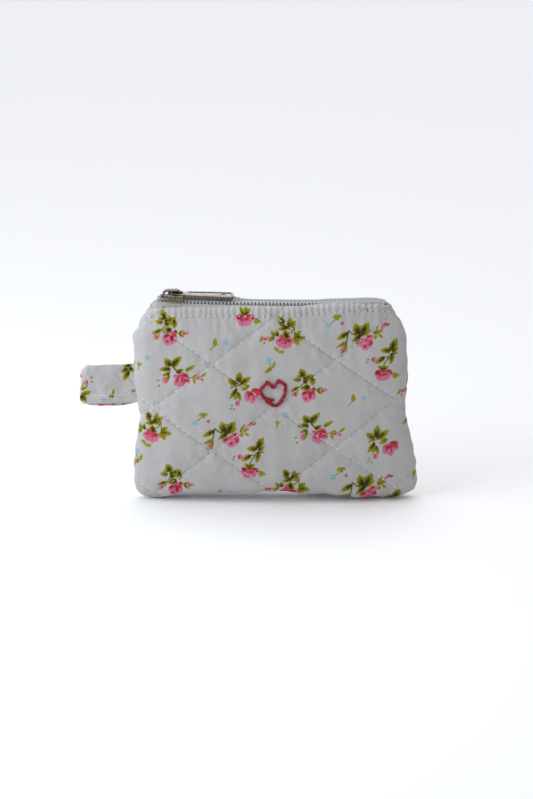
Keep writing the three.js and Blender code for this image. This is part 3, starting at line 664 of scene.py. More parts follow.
class Finish:
    """A material and short ways to add nodes to it."""

    def __init__(self, name, **shader):
        self.material = bpy.data.materials.new(name)
        self.material.use_nodes = True
        self.tree = self.material.node_tree
        self.shader = self.tree.nodes["Principled BSDF"]
        for key, value in shader.items():
            self.shader.inputs[key.replace("_", " ")].default_value = value

    def node(self, kind, settings=None, **inputs):
        """A node of this kind; inputs go by name, or as i0, i1 ... by number."""
        node = self.tree.nodes.new("ShaderNode" + kind)
        for key, value in (settings or {}).items():
            setattr(node, key, value)
        for key, value in inputs.items():
            numbered = key[0] == "i" and key[1:].isdigit()
            self.feed(node.inputs[int(key[1:]) if numbered else key.replace("_", " ")], value)
        return node

    def feed(self, socket, value):
        if isinstance(value, bpy.types.NodeSocket):
            self.tree.links.new(value, socket)
        else:
            socket.default_value = value

    def math(self, operation, a, b=0.0, c=0.0):
        return self.node("Math", {"operation": operation}, i0=a, i1=b, i2=c).outputs[0]

    def attribute(self, name):
        return self.node("Attribute", {"attribute_name": name})

    def split(self, vector):
        return self.node("SeparateXYZ", Vector=vector).outputs

    def noise(self, vector, scale, detail=2.0, roughness=0.5):
        settings = {"Vector": vector, "Scale": scale, "Detail": detail, "Roughness": roughness}
        return self.node("TexNoise", **settings).outputs[0]

    def stretched(self, vector, scale):
        return self.node("Mapping", Vector=vector, Scale=scale).outputs[0]

    def ramp(self, value, low, high, to_low=0.0, to_high=1.0):
        node = self.node("MapRange", {"interpolation_type": "SMOOTHSTEP"}, Value=value)
        ends = {"From Min": low, "From Max": high, "To Min": to_low, "To Max": to_high}
        for socket, number in ends.items():
            node.inputs[socket].default_value = number
        return node.outputs[0]

    def mix(self, share, a, b, blend="MIX"):
        node = self.node("Mix", {"data_type": "RGBA", "blend_type": blend})
        for index, value in ((0, share), (6, a), (7, b)):
            self.feed(node.inputs[index], value)
        return node.outputs[2]

    def bump(self, height, distance, strength=1.0, under=None):
        node = self.node("Bump", Height=height, Distance=distance * MM, Strength=strength)
        if under is not None:
            self.feed(node.inputs["Normal"], under)
        return node.outputs[0]

    def finish(self, colour, roughness=None, normal=None):
        self.feed(self.shader.inputs["Base Color"], colour)
        if roughness is not None:
            self.feed(self.shader.inputs["Roughness"], roughness)
        if normal is not None:
            self.feed(self.shader.inputs["Normal"], normal)
        return self.material


def weave(f, cloth, pitch):
    """Plain weave's height, from cloth coordinates in millimetres, with uneven yarns."""
    drift = f.noise(cloth, 0.9, 2)
    u, v, _ = f.split(cloth)
    wobble = f.math("MULTIPLY", drift, 0.35)
    across = f.math("MULTIPLY_ADD", u, math.pi / pitch, wobble)
    along = f.math("MULTIPLY_ADD", v, math.pi / pitch, wobble)
    su, sv = f.math("SINE", across), f.math("SINE", along)
    warp = f.math("MULTIPLY", f.math("ABSOLUTE", su), f.math("MULTIPLY_ADD", sv, 0.25, 0.75))
    weft = f.math("MULTIPLY", f.math("ABSOLUTE", sv), f.math("MULTIPLY_ADD", su, -0.25, 0.75))
    return f.math("MAXIMUM", warp, weft)


def cloth_material(name, ground, pitch=0.3, printed_cloth=False, sheen=0.25, mottle=0.05):
    f = Finish(name, Roughness=0.9, Sheen_Weight=sheen, Sheen_Roughness=0.45, Specular_IOR_Level=0.1)
    cloth = f.attribute("cloth").outputs["Vector"]
    height = weave(f, cloth, pitch)
    warp_slubs = f.noise(f.stretched(cloth, (3.2, 0.16, 1)), 1.0, 3, 0.6)
    weft_slubs = f.noise(f.stretched(cloth, (0.16, 3.2, 1)), 1.0, 3, 0.6)
    patches = f.noise(cloth, 0.12, 3, 0.55)
    yarn = f.ramp(f.math("ADD", warp_slubs, weft_slubs), 0.75, 1.3, 1 - mottle, 1 + mottle)
    # The low parts of the weave, between the yarns, are painted a little darker as shade; the yarns and
    # patches vary at random.
    yarn_tone_and_weave_shade = f.math("MULTIPLY", yarn, f.ramp(height, 0.2, 0.95, 0.95, 1.01))
    yarn_tone_and_weave_shade = f.math("MULTIPLY", yarn_tone_and_weave_shade, f.ramp(patches, 0.3, 0.7, 0.975, 1.015))
    warmer = tuple(c * s for c, s in zip(ground, (1.01, 1.0, 0.975, 1)))
    colour = f.mix(f.ramp(patches, 0.35, 0.7), ground, warmer)
    if printed_cloth:
        ink = f.split(f.attribute("ink").outputs["Color"])
        deep = f.split(f.attribute("deep").outputs["Color"])
        olive = f.mix(f.ramp(deep[0], 0.05, 0.8), OLIVE, DARK_OLIVE)
        pink = f.mix(f.ramp(deep[1], 0.0, 0.45), PALE_PINK, ROSE_PINK)
        pink = f.mix(f.ramp(deep[1], 0.4, 0.95), pink, DEEP_PINK)
        ragged = f.math("MULTIPLY", f.math("SUBTRACT", f.noise(cloth, 2.6, 2), 0.5), 0.14)
        for field, shade in ((ink[2], LIGHT_BLUE), (ink[1], pink), (ink[0], olive)):
            colour = f.mix(f.ramp(f.math("ADD", field, ragged), 0.44, 0.58, 0, 0.98), colour, shade)
    colour = f.mix(1.0, colour, f.node("CombineXYZ", X=yarn_tone_and_weave_shade, Y=yarn_tone_and_weave_shade, Z=yarn_tone_and_weave_shade).outputs[0], "MULTIPLY")
    fuzz = f.noise(cloth, 7.0, 3, 0.7)
    relief = f.math("ADD", height, f.math("MULTIPLY", fuzz, 0.5))
    normal = f.bump(relief, 0.05, 0.55)
    normal = f.bump(f.math("ADD", warp_slubs, weft_slubs), 0.1, 0.35, normal)
    return f.finish(colour, f.ramp(fuzz, 0.3, 0.7, 0.82, 0.98), normal)


def thread_material(name, light, dark, roughness=0.6, twist=1.6, sheen=0.2):
    f = Finish(name, Roughness=roughness, Sheen_Weight=sheen, Sheen_Roughness=0.35, Specular_IOR_Level=0.3)
    place = f.node("TexCoord").outputs["Object"]
    strands = f.noise(f.stretched(place, (1000, 1000, 1000)), twist, 3, 0.65)
    colour = f.mix(f.ramp(strands, 0.32, 0.66), dark, light)
    rough = f.ramp(strands, 0.3, 0.7, roughness - 0.08, roughness + 0.12)
    return f.finish(colour, rough, f.bump(strands, 0.12, 0.6))


def metal_material(name, top_painted_highlight, side_painted_reflection_and_shade):
    f = Finish(name, Metallic=1.0, Roughness=0.28)
    place = f.node("TexCoord").outputs["Object"]
    brushed = f.noise(f.stretched(place, (120, 2400, 2400)), 1.0, 3, 0.6)
    worn = f.noise(f.stretched(place, (500, 500, 500)), 1.0, 4, 0.6)
    # Faces that point up get the lighter colour and the sides the brown one: a painted highlight on the tops
    # and painted reflection and shade on the sides, set by the way each face points.
    up = f.ramp(f.split(f.node("NewGeometry").outputs["Normal"])[2], 0.6, 0.97)
    colour = f.mix(f.math("MULTIPLY", up, f.ramp(worn, 0.2, 0.5, 0.75, 1.0)), side_painted_reflection_and_shade, top_painted_highlight)
    rough = f.ramp(f.math("ADD", brushed, worn), 0.7, 1.3, 0.2, 0.42)
    return f.finish(colour, rough, f.bump(brushed, 0.01, 0.25))


def batting_material():
    f = Finish("polyester_batting", Roughness=1.0, Sheen_Weight=0.6, Sheen_Roughness=0.6)
    place = f.stretched(f.node("TexCoord").outputs["Object"], (1000, 1000, 1000))
    fibres = f.noise(f.stretched(place, (0.5, 0.5, 2.5)), 1.2, 5, 0.7)
    colour = f.mix(f.ramp(fibres, 0.3, 0.7), rgb(225, 225, 222), rgb(246, 246, 244))
    return f.finish(colour, 1.0, f.bump(fibres, 0.6, 0.8))


# The material of each slot.
MATERIALS = {
    "printed_cotton": cloth_material("printed_cotton", rgb(180, 178, 178), printed_cloth=True, sheen=0.04,
                                     mottle=0.03),
    "lining_cotton": cloth_material("lining_cotton", rgb(212, 210, 206), pitch=0.34),
    "zip_tape": cloth_material("zip_tape_weave", rgb(180, 181, 179), pitch=0.5, sheen=0.15, mottle=0.08),
    "zip_coil": thread_material("zip_coil_nylon", rgb(188, 190, 187), rgb(168, 170, 167), 0.4, 0.8),
    "sewing_thread": thread_material("white_sewing_thread", rgb(240, 241, 244), rgb(200, 202, 208)),
    "floss": thread_material("crimson_floss", rgb(186, 26, 52), rgb(98, 2, 20), 0.5, 2.6, 0.06),
    # The nickel's lighter colour is a painted highlight for its tops, its brown one painted reflection and
    # shade for its sides.
    "nickel": metal_material("nickel_plate", rgb(184, 180, 180), rgb(108, 94, 78)),
    "batting": batting_material(),
}

# ---- adding pieces: the front's have their transforms baked in ----


def follow_mouth(piece):
    """Bake the piece's transform into its mesh and read out its points."""
    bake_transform(piece)
    count = len(piece.data.vertices)
    places = np.zeros(count * 3)
    piece.data.vertices.foreach_get("co", places)


def add_piece(name, part, slot, body, node, **attributes):
    """A visible piece from (points, faces), which stands for a CAD node. It rides on a body, or
    on a wall: the back is the root's, and the front's pieces only have their transforms baked in."""
    piece = mesh_piece(name, *part, MATERIALS[slot], **attributes)
    if body == "front":
        follow_mouth(piece)
    else:
        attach(piece, "root" if body == "back" else body)
    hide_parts(node)
    return piece


# ---- outer fabric ----

FINE = 4  # the outer skin's grid is this many times finer than the inner's
OUTER_ROWS, OUTER_COLUMNS = 321, 385
OUTER_INSET, OUTER_TOP, OUTER_THICK = 0.9, 84.1, 0.35
CUT = {"front": (0, 0), "back": (25, 45)}  # where each wall is cut from the repeat
FACE = slice(8, 304)  # the rows between the bottom seam and the turn-in
outer = {}  # each wall's grid of points, ways out, u and v


def build_outer(label):
    side = SIDES[label]
    points, u, v = wall(label, OUTER_INSET, OUTER_TOP, OUTER_ROWS, OUTER_COLUMNS, folded=True)
    normals = grid_normals(points) * -side
    reach = np.where(u < 0, -u[:, :1], u[:, -1:])
    points = points + normals * (quilt_relief(u, v, reach, label) + OUTER_INSET)[..., None]
    points[..., 2] = np.maximum(points[..., 2], 0)
    normals = grid_normals(points) * -side
    outer[label] = np.dstack([points, normals, u, v])
    inner = (points - normals * OUTER_THICK)[::FINE, ::FINE]
    ink, deep = printed(u, v, CUT[label]).fields()
    every = np.arange(u.size)
    order = np.concatenate([every, every.reshape(u.shape)[::FINE, ::FINE].ravel()])
    return add_piece(f"{label}_quilted_fabric", sheet_shell(points, inner, FINE, side > 0), "printed_cotton",
                     label, f"{label}_outer_fabric", cloth=cloth_coordinates(u, v)[order], ink=ink[order],
                     deep=deep[order])


def on_outer(label, u, v):
    """The point of the outer fabric at cloth coordinates (u, v) and the way out of it, or None."""
    found = grid_lookup(outer[label][FACE], u, v)
    if math.dist(found[6:], (u, v)) > 0.4:
        return None
    return found[:3], found[3:6] / np.linalg.norm(found[3:6])


for label in SIDES:
    fabric = build_outer(label)

# ---- linings and battings ----


def build_layer(label, node, slot, inset, top, thick, spacing, wrinkle, seam_clear=0.0):
    """A layer inside the outer fabric: its outer face is inset from the pouch's form."""
    rows, columns = (4 * int(span / spacing / 4) + 1 for span in (92, 122))
    side = SIDES[label]
    points, u, v = wall(label, inset, top, rows, columns, seam_clear=seam_clear)
    seed = 50 + 7 * side + int(inset * 10)
    relief = wrinkle * (waves(u, v, seed, 9, 30) + 0.4 * waves(u, v, seed + 1, 3, 8))
    relief *= np.clip((np.abs(u[:, -1:]) - np.abs(u)) / 6, 0, 1)
    points = points - side * grid_normals(points) * relief[..., None]
    inner = points + side * grid_normals(points) * thick
    return add_piece(f"{label}_{node}_layer", sheet_shell(points, inner, 1, side > 0), slot, label,
                     f"{label}_{node}", cloth=np.tile(cloth_coordinates(u, v), (2, 1)))


for label in SIDES:
    batting = build_layer(label, "batting", "batting", inset=1.5, top=75.6, thick=1.3, spacing=1.6,
                          wrinkle=0.05, seam_clear=1.2)
    lining = build_layer(label, "lining", "lining_cotton", inset=3.2, top=82.4, thick=0.3, spacing=0.9,
                         wrinkle=0.14)

# ---- zip ----


def crest_of(label):
    """The top edge of a wall's fold as a function of x: how far out and how high."""
    points = outer[label][..., :3]
    row = int(np.argmax(points[:, OUTER_COLUMNS // 2, 2]))
    x, y, z = points[row].T
    return lambda at: (np.interp(at, x, np.abs(y)), np.interp(at, x, z))


TAPE_THICK, TAPE_ROLL = 0.42, 1.35
TAPE_COLUMNS, TAPE_ROWS = 225, 49
# The tape's route down inside the wall, measured in from the crest of the wall's fold and down.
TAPE_HANG = ((0.75, 0.45), (1.0, 1.6), (0.95, 3.4), (0.3, 5.4), (-0.2, 7.6), (-0.4, 9))


def build_tape(label):
    """Half of the tape: out from under the coil, over a shoulder that rolls up to the right of
    the middle, and down between the wall's turn-in and the lining."""
    side = SIDES[label]
    x = np.linspace(-ZIP_END + 0.3, ZIP_END + 0.4, TAPE_COLUMNS)
    out, crest = crest_of(label)(x)
    top = COIL_Z + zip_rise(x)
    shoulder = np.minimum(2.9, 0.62 * out)
    narrow = np.minimum(0.55, 0.3 * out)
    slope_y, slope_z = 0.5 * (shoulder + out - 0.8), 0.5 * (top - 0.7 + crest) - 0.15
    roll = TAPE_ROLL * smooth((x - 12) / 14) * smooth((50.4 - x) / 6)
    stops = [(narrow, top - 0.5), (shoulder, top - 0.42 + roll), (slope_y, slope_z + 0.8 * roll)]
    stops += [(out - inward, crest - down) for inward, down in TAPE_HANG]
    key = np.arange(len(stops))
    share = np.linspace(0, len(stops) - 1, TAPE_ROWS)
    ys = np.stack([s[0] for s in stops])
    zs = np.stack([s[1] for s in stops])
    points = np.zeros((share.size, x.size, 3))
    for column in range(x.size):
        points[:, column, 0] = x[column]
        points[:, column, 1] = side * curve_through(np.stack([key, ys[:, column]], 1))(share)
        points[:, column, 2] = curve_through(np.stack([key, zs[:, column]], 1))(share)
    normals = grid_normals(points) * side
    gathers = 0.07 * np.cos(2 * math.pi * x / STITCH) + 0.05 * waves(x, x * 0, 61, 3, 9)
    points += normals * (gathers * np.exp(-((share[:, None] - 3) / 1.1) ** 2))[..., None]
    inner = points - normals * TAPE_THICK
    run = distance_along(points[:, TAPE_COLUMNS // 2])
    u, v = np.broadcast_arrays(x[None, :], run[:, None])
    return add_piece(f"{label}_woven_tape", sheet_shell(points, inner, 1, side < 0), "zip_tape", label,
                     f"{label}_zip_tape", cloth=np.tile(cloth_coordinates(u, v), (2, 1)))


COIL_FIRST, COIL_LAST, COIL_WIRE = -47.0, 48.6, 0.4
LOOP_MIDDLE, LOOP_HALF, LOOP_RISE = 1.0, 1.75, 0.36  # across the zip, and up and down
CORD_FIRST, CORD_LAST, CORD_Y, CORD_RADIUS = -46.9, 48.4, 1.05, 0.42
ROW_RADIUS, ROWS = 0.16, ((1.35, 0.6), (2.15, 0.58))  # each row's distance out and height


def build_coil(label):
    """Half of the chain: a flat nylon helix, the cord in it, and two rows of thread over it."""
    side = SIDES[label]
    turns = (COIL_LAST - COIL_FIRST) / COIL_PITCH
    t = np.linspace(0, turns, int(turns * 16))
    x = COIL_FIRST + COIL_PITCH * t
    angle = 2 * math.pi * (t + (0.5 if side < 0 else 0))
    y = side * (LOOP_MIDDLE - LOOP_HALF * np.cos(angle))
    z = COIL_Z + zip_rise(x) - 0.02 + LOOP_RISE * np.sin(angle)
    parts = [tube(np.stack([x, y, z], 1), COIL_WIRE, 6)]
    x = np.linspace(CORD_FIRST, CORD_LAST, 200)
    parts.append(tube(np.stack([x, side * CORD_Y + 0 * x, COIL_Z + zip_rise(x)], 1), CORD_RADIUS, 8))
    x = np.linspace(CORD_FIRST, CORD_LAST, 780)
    angle = 2 * math.pi * x / COIL_PITCH
    for row, lift in ROWS:
        y = side * (row + 0.13 * np.sin(angle + row))
        z = COIL_Z + zip_rise(x) + lift + 0.07 * np.cos(angle)
        parts.append(tube(np.stack([x, y, z], 1), ROW_RADIUS, 5))
    return add_piece(f"{label}_coil_chain", joined(parts), "zip_coil", label, f"{label}_zip_coil")


for label in SIDES:
    tape = build_tape(label)
    build_coil(label)

# ---- slider and pull ----


def arc(centre, radius, start, end, steps=8):
    """Points on a round stretch of an outline, from one angle in degrees to another."""
    turns = np.radians(np.linspace(start, end, steps))
    return [(centre[0] + radius * math.cos(a), centre[1] + radius * math.sin(a)) for a in turns]


BEVEL_STEPS = 3


def plate(outlines, low, high, bevel):
    """A plate with rounded edges: the first outline less the others, between two heights."""
    curve = bpy.data.curves.new("outline", "CURVE")
    curve.dimensions, curve.fill_mode = "2D", "BOTH"
    curve.extrude = (high - low) / 2 - bevel
    curve.bevel_depth, curve.bevel_resolution, curve.offset = bevel, BEVEL_STEPS, -bevel
    for outline in outlines:
        spline = curve.splines.new("POLY")
        spline.points.add(len(outline) - 1)
        for point, (x, y) in zip(spline.points, outline):
            point.co = (x, y, 0, 1)
        spline.use_cyclic_u = True
    holder = bpy.data.objects.new("outline", curve)
    bpy.context.scene.collection.objects.link(holder)
    evaluated = holder.evaluated_get(bpy.context.evaluated_depsgraph_get())
    mesh = bmesh.new()
    mesh.from_mesh(evaluated.to_mesh())
    bmesh.ops.remove_doubles(mesh, verts=mesh.verts, dist=1e-4)
    points = np.array([v.co for v in mesh.verts], float) + [0, 0, (low + high) / 2]
    faces = [[v.index for v in face.verts] for face in mesh.faces]
    mesh.free()
    bpy.data.objects.remove(holder)
    bpy.data.curves.remove(curve)
    return points, faces


def metal_piece(name, parts, body, node, turn=np.eye(3), z=0):
    """Parts made about the slider's own middle, turned and set in their place."""
    points, faces = joined(parts)
    return add_piece(name, (points @ turn.T + (SLIDER_X, 0, z), faces), "nickel", body, node)


def mirrored(upper):
    """An outline across y = 0 from its upper half, which runs from the right to the left."""
    return upper + [(x, -y) for x, y in reversed(upper)]


def oblong(x0, x1, half, corner):
    """A rectangle across y = 0 with round corners."""
    return mirrored(arc((x1 - corner, half - corner), corner, 0, 90)
                    + arc((x0 + corner, half - corner), corner, 90, 180))


FLANGE_TOP, FLANGE_BOTTOM = (87.6, 88.5), (83.8, 84.6)
FLANGE_END, NOSE_RADIUS, TAIL_RADIUS, TAIL_DRAWN = 4.9, 1.6, 1.1, 0.35
TOP_SHOULDER, BOTTOM_SHOULDER, FLANGE_BEVEL = 3.95, 2.9, 0.22
LIP_INNER, LIP_OUTER, LIP_Z, LIP_RISE = 3.12, 3.95, 87.2, 1.3
LIP_LENGTH, LIP_STARTS, LIP_TAPER = 3.18, (-1.5, 1.8), 0.006
CROWN_HALF, CROWN_TOP, CROWN_WALL, CROWN_WIDTH = 3.9, 91.6, 0.8, 2.2
NOSE_BEND, TAIL_BEND, CROWN_SPLAY = 2.5, 1.7, 0.6  # the crown's bends, and its left foot's reach
CROWN_UPRIGHT = np.array([[1, 0, 0], [0, 0, -1], [0, 1, 0]])


def flange(shoulder):
    """The slider's diamond, broad at the nose and drawn in at the tail."""
    tail = (FLANGE_END - TAIL_RADIUS, shoulder - TAIL_DRAWN - TAIL_RADIUS)
    nose = (NOSE_RADIUS - FLANGE_END, shoulder - NOSE_RADIUS)
    return mirrored(arc(tail, TAIL_RADIUS, 0, 85) + arc(nose, NOSE_RADIUS, 90, 180))


def build_slider():
    parts = [plate([flange(TOP_SHOULDER)], *FLANGE_TOP, FLANGE_BEVEL),
             plate([flange(BOTTOM_SHOULDER)], *FLANGE_BOTTOM, FLANGE_BEVEL)]
    for side in (-1, 1):
        y = side * (LIP_INNER + LIP_OUTER) / 2
        for x in LIP_STARTS:
            lip = oblong(x, x + LIP_LENGTH, (LIP_OUTER - LIP_INNER) / 2, 0.3)
            points, faces = plate([lip], LIP_Z, FLANGE_TOP[1] + LIP_RISE, 0.12)
            parts.append((points + (0, y * (1 - LIP_TAPER * x), 0), faces))
    parts.append(plate([oblong(-4.2, -2.2, 0.85, 0.5)], FLANGE_BOTTOM[0] + 0.5, FLANGE_TOP[0] + 0.4, 0.1))
    metal_piece("slider_flanges", parts, "slider", "slider_body")

    foot = FLANGE_TOP[1] - 0.05
    nose = (NOSE_BEND - CROWN_HALF, CROWN_TOP - NOSE_BEND)
    tail = (CROWN_HALF - TAIL_BEND, CROWN_TOP - TAIL_BEND)
    outside = [(CROWN_HALF, foot)] + arc(tail, TAIL_BEND, 0, 90) + arc(nose, NOSE_BEND, 90, 170)
    inside = arc(nose, NOSE_BEND - CROWN_WALL, 170, 90) + arc(tail, TAIL_BEND - CROWN_WALL, 90, 0)
    feet = [(-CROWN_HALF - CROWN_SPLAY, foot), (-CROWN_HALF - CROWN_SPLAY + CROWN_WALL, foot)]
    outline = outside + feet + inside + [(CROWN_HALF - CROWN_WALL, foot)]
    crown = plate([outline], -CROWN_WIDTH / 2, CROWN_WIDTH / 2, 0.2)
    metal_piece("slider_bridge", [crown], "slider", "slider_crown", CROWN_UPRIGHT)

    spring = plate([oblong(-2.9, 2.9, 0.6, 0.3)], FLANGE_TOP[1] + 0.25, FLANGE_TOP[1] + 0.45, 0.06)
    metal_piece("lock_spring_leaf", [spring], "slider", "slider_lock_spring")


PULL_AXIS_Z = 89.7
PULL_DROOP, PULL_ROLL = math.radians(2.2), math.radians(7)
PULL_LENGTH, PULL_THICK, PULL_HALF = 26, 1.2, 2.5
NECK_X, NECK_HALF, EYE_HALF = 7.6, 2.1, 1.85  # the plate narrows to its neck, and again to its eye
END_RADIUS, EYE_RADIUS, RIM = 1.5, 0.9, 0.6


def build_pull():
    """A plate with an eye for the crown, a bar across the eye's end, and a sunk, dimpled face."""
    outline = mirrored(arc((PULL_LENGTH - END_RADIUS, PULL_HALF - END_RADIUS), END_RADIUS, 0, 86)
                       + [(NECK_X, NECK_HALF), (NECK_X - 1, NECK_HALF - 0.08), (NECK_X - 1.8, EYE_HALF)]
                       + arc((0.4, EYE_HALF - EYE_RADIUS), EYE_RADIUS, 90, 180))
    eye = oblong(0.5, 4.7, 1.3, EYE_RADIUS)
    dimple = arc((PULL_LENGTH - 4.3, 0), 1.15, 0, 345, 24)
    sunk = mirrored(arc((PULL_LENGTH - 1.9, PULL_HALF - RIM - 0.9), 0.9, 0, 86)
                    + arc((NECK_X + 0.3, NECK_HALF - RIM - 0.6), 0.6, 92, 180))
    low = -PULL_THICK / 2
    parts = [plate([outline, eye], low, low + 0.62, 0.16),
             plate([outline, eye, dimple], low + 0.3, low + 0.84, 0.1),
             plate([outline, eye, sunk], low + 0.55, -low, 0.16),
             tube([(0, y, 0) for y in np.linspace(-1.7, 1.7, 9)], 0.5, 12)]
    turn = Matrix.Rotation(PULL_DROOP, 3, "Y") @ Matrix.Rotation(PULL_ROLL, 3, "X")
    metal_piece("pull_plate", parts, "pull", "pull_tab", np.array(turn), z=PULL_AXIS_Z)


build_slider()
build_pull()

# ---- threads ----

STITCH_SHAKE = 0.07
# The length, gap, lift and radius of the stitches.
QUILTING = (2.2, 0.5, 0.11, 0.145)
TOPSTITCHING = (0.95, 1.55, 0.1, 0.21)


def stitch(ends, lift, radius):
    """One stitch over the cloth, between two points with their ways out: it comes up at the
    first and dives at the last."""
    (a, na), (b, nb) = ends
    share = np.linspace(0, 1, 7)[:, None]
    rise = np.sin(math.pi * share) ** 0.6
    path = a + (b - a) * share + (na + nb) / 2 * (lift * rise - radius * 1.6 * (1 - rise))
    return tube(path, radius, 6, np.interp(share.ravel(), (0, 0.18, 0.82, 1), (0.7, 1, 1, 0.7)))


def row_of_stitches(label, path, length, gap, lift, radius):
    """Stitches along path(t), which gives cloth coordinates for a distance t along it."""
    parts = []
    for start in np.arange(path.first, path.last - length, length + gap):
        shake = rng.uniform(-STITCH_SHAKE, STITCH_SHAKE, 2)
        ends = [on_outer(label, *path(t)) for t in (start + shake[0], start + length + shake[1])]
        if None not in ends:
            parts.append(stitch(ends, lift, radius))
    return parts


class Line:
    """A quilting line over the cloth, by its slope and its height at u = 0."""

    low_v, high_v, reach = 1.5, 85.5, 59

    def __init__(self, slope, height):
        self.slope, self.height, self.scale = slope, height, math.hypot(1, slope)
        ends = sorted(((self.low_v - height) / slope, (self.high_v - height) / slope))
        self.first = max(ends[0], -self.reach) * self.scale
        self.last = min(ends[1], self.reach) * self.scale

    def __call__(self, t):
        u = t / self.scale
        return u, self.slope * u + self.height


class TopRow:
    """The row of stitches along a wall's top edge."""

    first, last = TOP_FIRST, TOP_LAST

    def __init__(self, label):
        self.height = top_row[label]

    def __call__(self, t):
        return t, float(self.height(t))


def build_threads(label):
    quilting = []
    for slope, heights in (FALLING, RISING):
        for height in heights:
            quilting += row_of_stitches(label, Line(slope, height), *QUILTING)
    add_piece(f"{label}_quilting_stitches", joined(quilting), "sewing_thread", label,
              f"{label}_quilting_thread")
    row = row_of_stitches(label, TopRow(label), *TOPSTITCHING)
    add_piece(f"{label}_topstitch_row", joined(row), "sewing_thread", label, f"{label}_topstitch")


for label in SIDES:
    build_threads(label)

# The heart's corners, about its middle, and the stitch inside its lower left side.
HEART_AT = (1.5, 49.0)
HEART = ((0, 2.4), (-2.4, 5.0), (-5.5, 1.6), (-3.9, -2.1), (0, -5.5), (1.9, -5.5), (4.8, -1.1), (5.3, 3.5),
         (2.4, 5.5), (0, 2.4))
HEART_TAIL = ((-3.4, -2.2), (0, -3.3))
PLY_RADIUS, PLY_OFFSET, PLY_TWIST = 0.5, 0.28, 6


def floss_stitch(start, end):
    """A straight stitch of two plies of floss wound round each other."""
    share = np.linspace(0, 1, 28)
    keys = np.linspace(0, 1, 5)
    places = np.add(HEART_AT, start) + keys[:, None] * np.subtract(end, start)
    line = np.array([np.concatenate(on_outer("front", u, v)) for u, v in places])
    line = np.stack([np.interp(share, keys, values) for values in line.T], 1)
    path, out = line[:, :3], line[:, 3:]
    along = (path[-1] - path[0]) / np.linalg.norm(path[-1] - path[0])
    beside = np.cross(out, along)
    arch = np.sin(math.pi * share)
    bow = 0.42 + 0.22 * arch - 0.75 * (1 - arch) ** 6
    plies = []
    for phase in (0, math.pi):
        turn = 2 * math.pi * math.dist(start, end) / PLY_TWIST * share + phase
        offset = PLY_OFFSET * (beside * np.cos(turn)[:, None] + out * np.sin(turn)[:, None])
        plies.append(tube(path + out * bow[:, None] + offset, PLY_RADIUS, 8))
    return plies


floss = []
for start, end in [*zip(HEART, HEART[1:]), HEART_TAIL]:
    floss += floss_stitch(start, end)
add_piece("heart_stitches", joined(floss), "floss", "front", "heart_embroidery")


def seam_strand(name, path, node):
    """A lockstitch strand along a path of (x, y, z), weaving through the seam once a stitch."""
    path = np.stack(np.broadcast_arrays(*path), 1).astype(float)
    run = distance_along(path)
    at = np.linspace(0, run[-1], int(run[-1] / 0.25))
    path = np.stack([np.interp(at, run, values) for values in path.T], 1)
    path[:, 1] += 0.12 * np.sin(2 * math.pi * at / STITCH)
    add_piece(name, tube(path, STRAND_RADIUS, 6), "sewing_thread", "root", node)


STRAND_RADIUS = 0.18
SEAM_INSET = 2.0
LINING_SEAM_Y, LINING_SEAM_Z = 0.6, 4.1
heights = np.linspace(5, 79, 40)
for name, reach, sign in (("left", left_reach, -1), ("right", right_reach, 1)):
    path = (sign * (reach(heights) - SEAM_INSET), SEAM_Y, heights)
    seam_strand(f"{name}_seam_stitches", path, f"{name}_seam_thread")
x = np.linspace(-48, 48, 60)
seam_strand("bottom_seam_stitches", (x, SEAM_Y, SEAM_INSET + bottom_arch(x)), "bottom_seam_thread")
x = np.linspace(-26, 26, 40)
seam_strand("lining_closing_stitches", (x, LINING_SEAM_Y, LINING_SEAM_Z + bottom_arch(x)),
            "lining_closing_thread")

# ---- side tab ----

TAB_SEAM_X, TAB_END_X, TAB_LOW, TAB_TOP = -55.0, -78.7, 41.4, 58.4
TAB_PLY, TAB_BEND, TAB_SAG = 0.95, 1.25, 2.2
TAB_ROW_Z = TAB_LOW + 3.7  # the row of stitches along its lower edge, and their step and size
TAB_STEP, TAB_STITCH, TAB_LIFT, TAB_THREAD = 1.75, 1.25, 0.12, 0.14


def tab_path(count):
    """The strip's middle line from above: out along the front, round the fold and back."""
    front = [(TAB_SEAM_X, SEAM_Y - 0.55), (-59, -1.35), (-63, -1.5), (-70, -1.62), (TAB_END_X + 3, -1.5)]
    fold = arc((TAB_END_X + TAB_BEND, 0), TAB_BEND, 255, 105, 9)
    back = [(TAB_END_X + 3, 1.2), (-70, 1.35), (-63, 1.1), (-59, 0.5), (TAB_SEAM_X, SEAM_Y + 0.75)]
    points = np.array(front + fold + back)
    run = distance_along(points)
    at = np.linspace(0, run[-1], count)
    return np.stack([curve_through(np.stack([run, values], 1))(at) for values in points.T], 1), at


def tab_section(face):
    """The ply's outline across the strip: heights and depths, up its outer face and down inside."""
    half = TAB_PLY / 2
    low, high = TAB_LOW + half, TAB_TOP - half
    turn = np.linspace(0, math.pi, 9)[1:-1]
    across = [np.linspace(low, high, face), high + half * np.sin(turn),
              np.linspace(high, low, face // 4), low - half * np.sin(turn)]
    depth = [np.full(face, half), half * np.cos(turn), np.full(face // 4, -half), -half * np.cos(turn)]
    return np.concatenate(across), np.concatenate(depth)


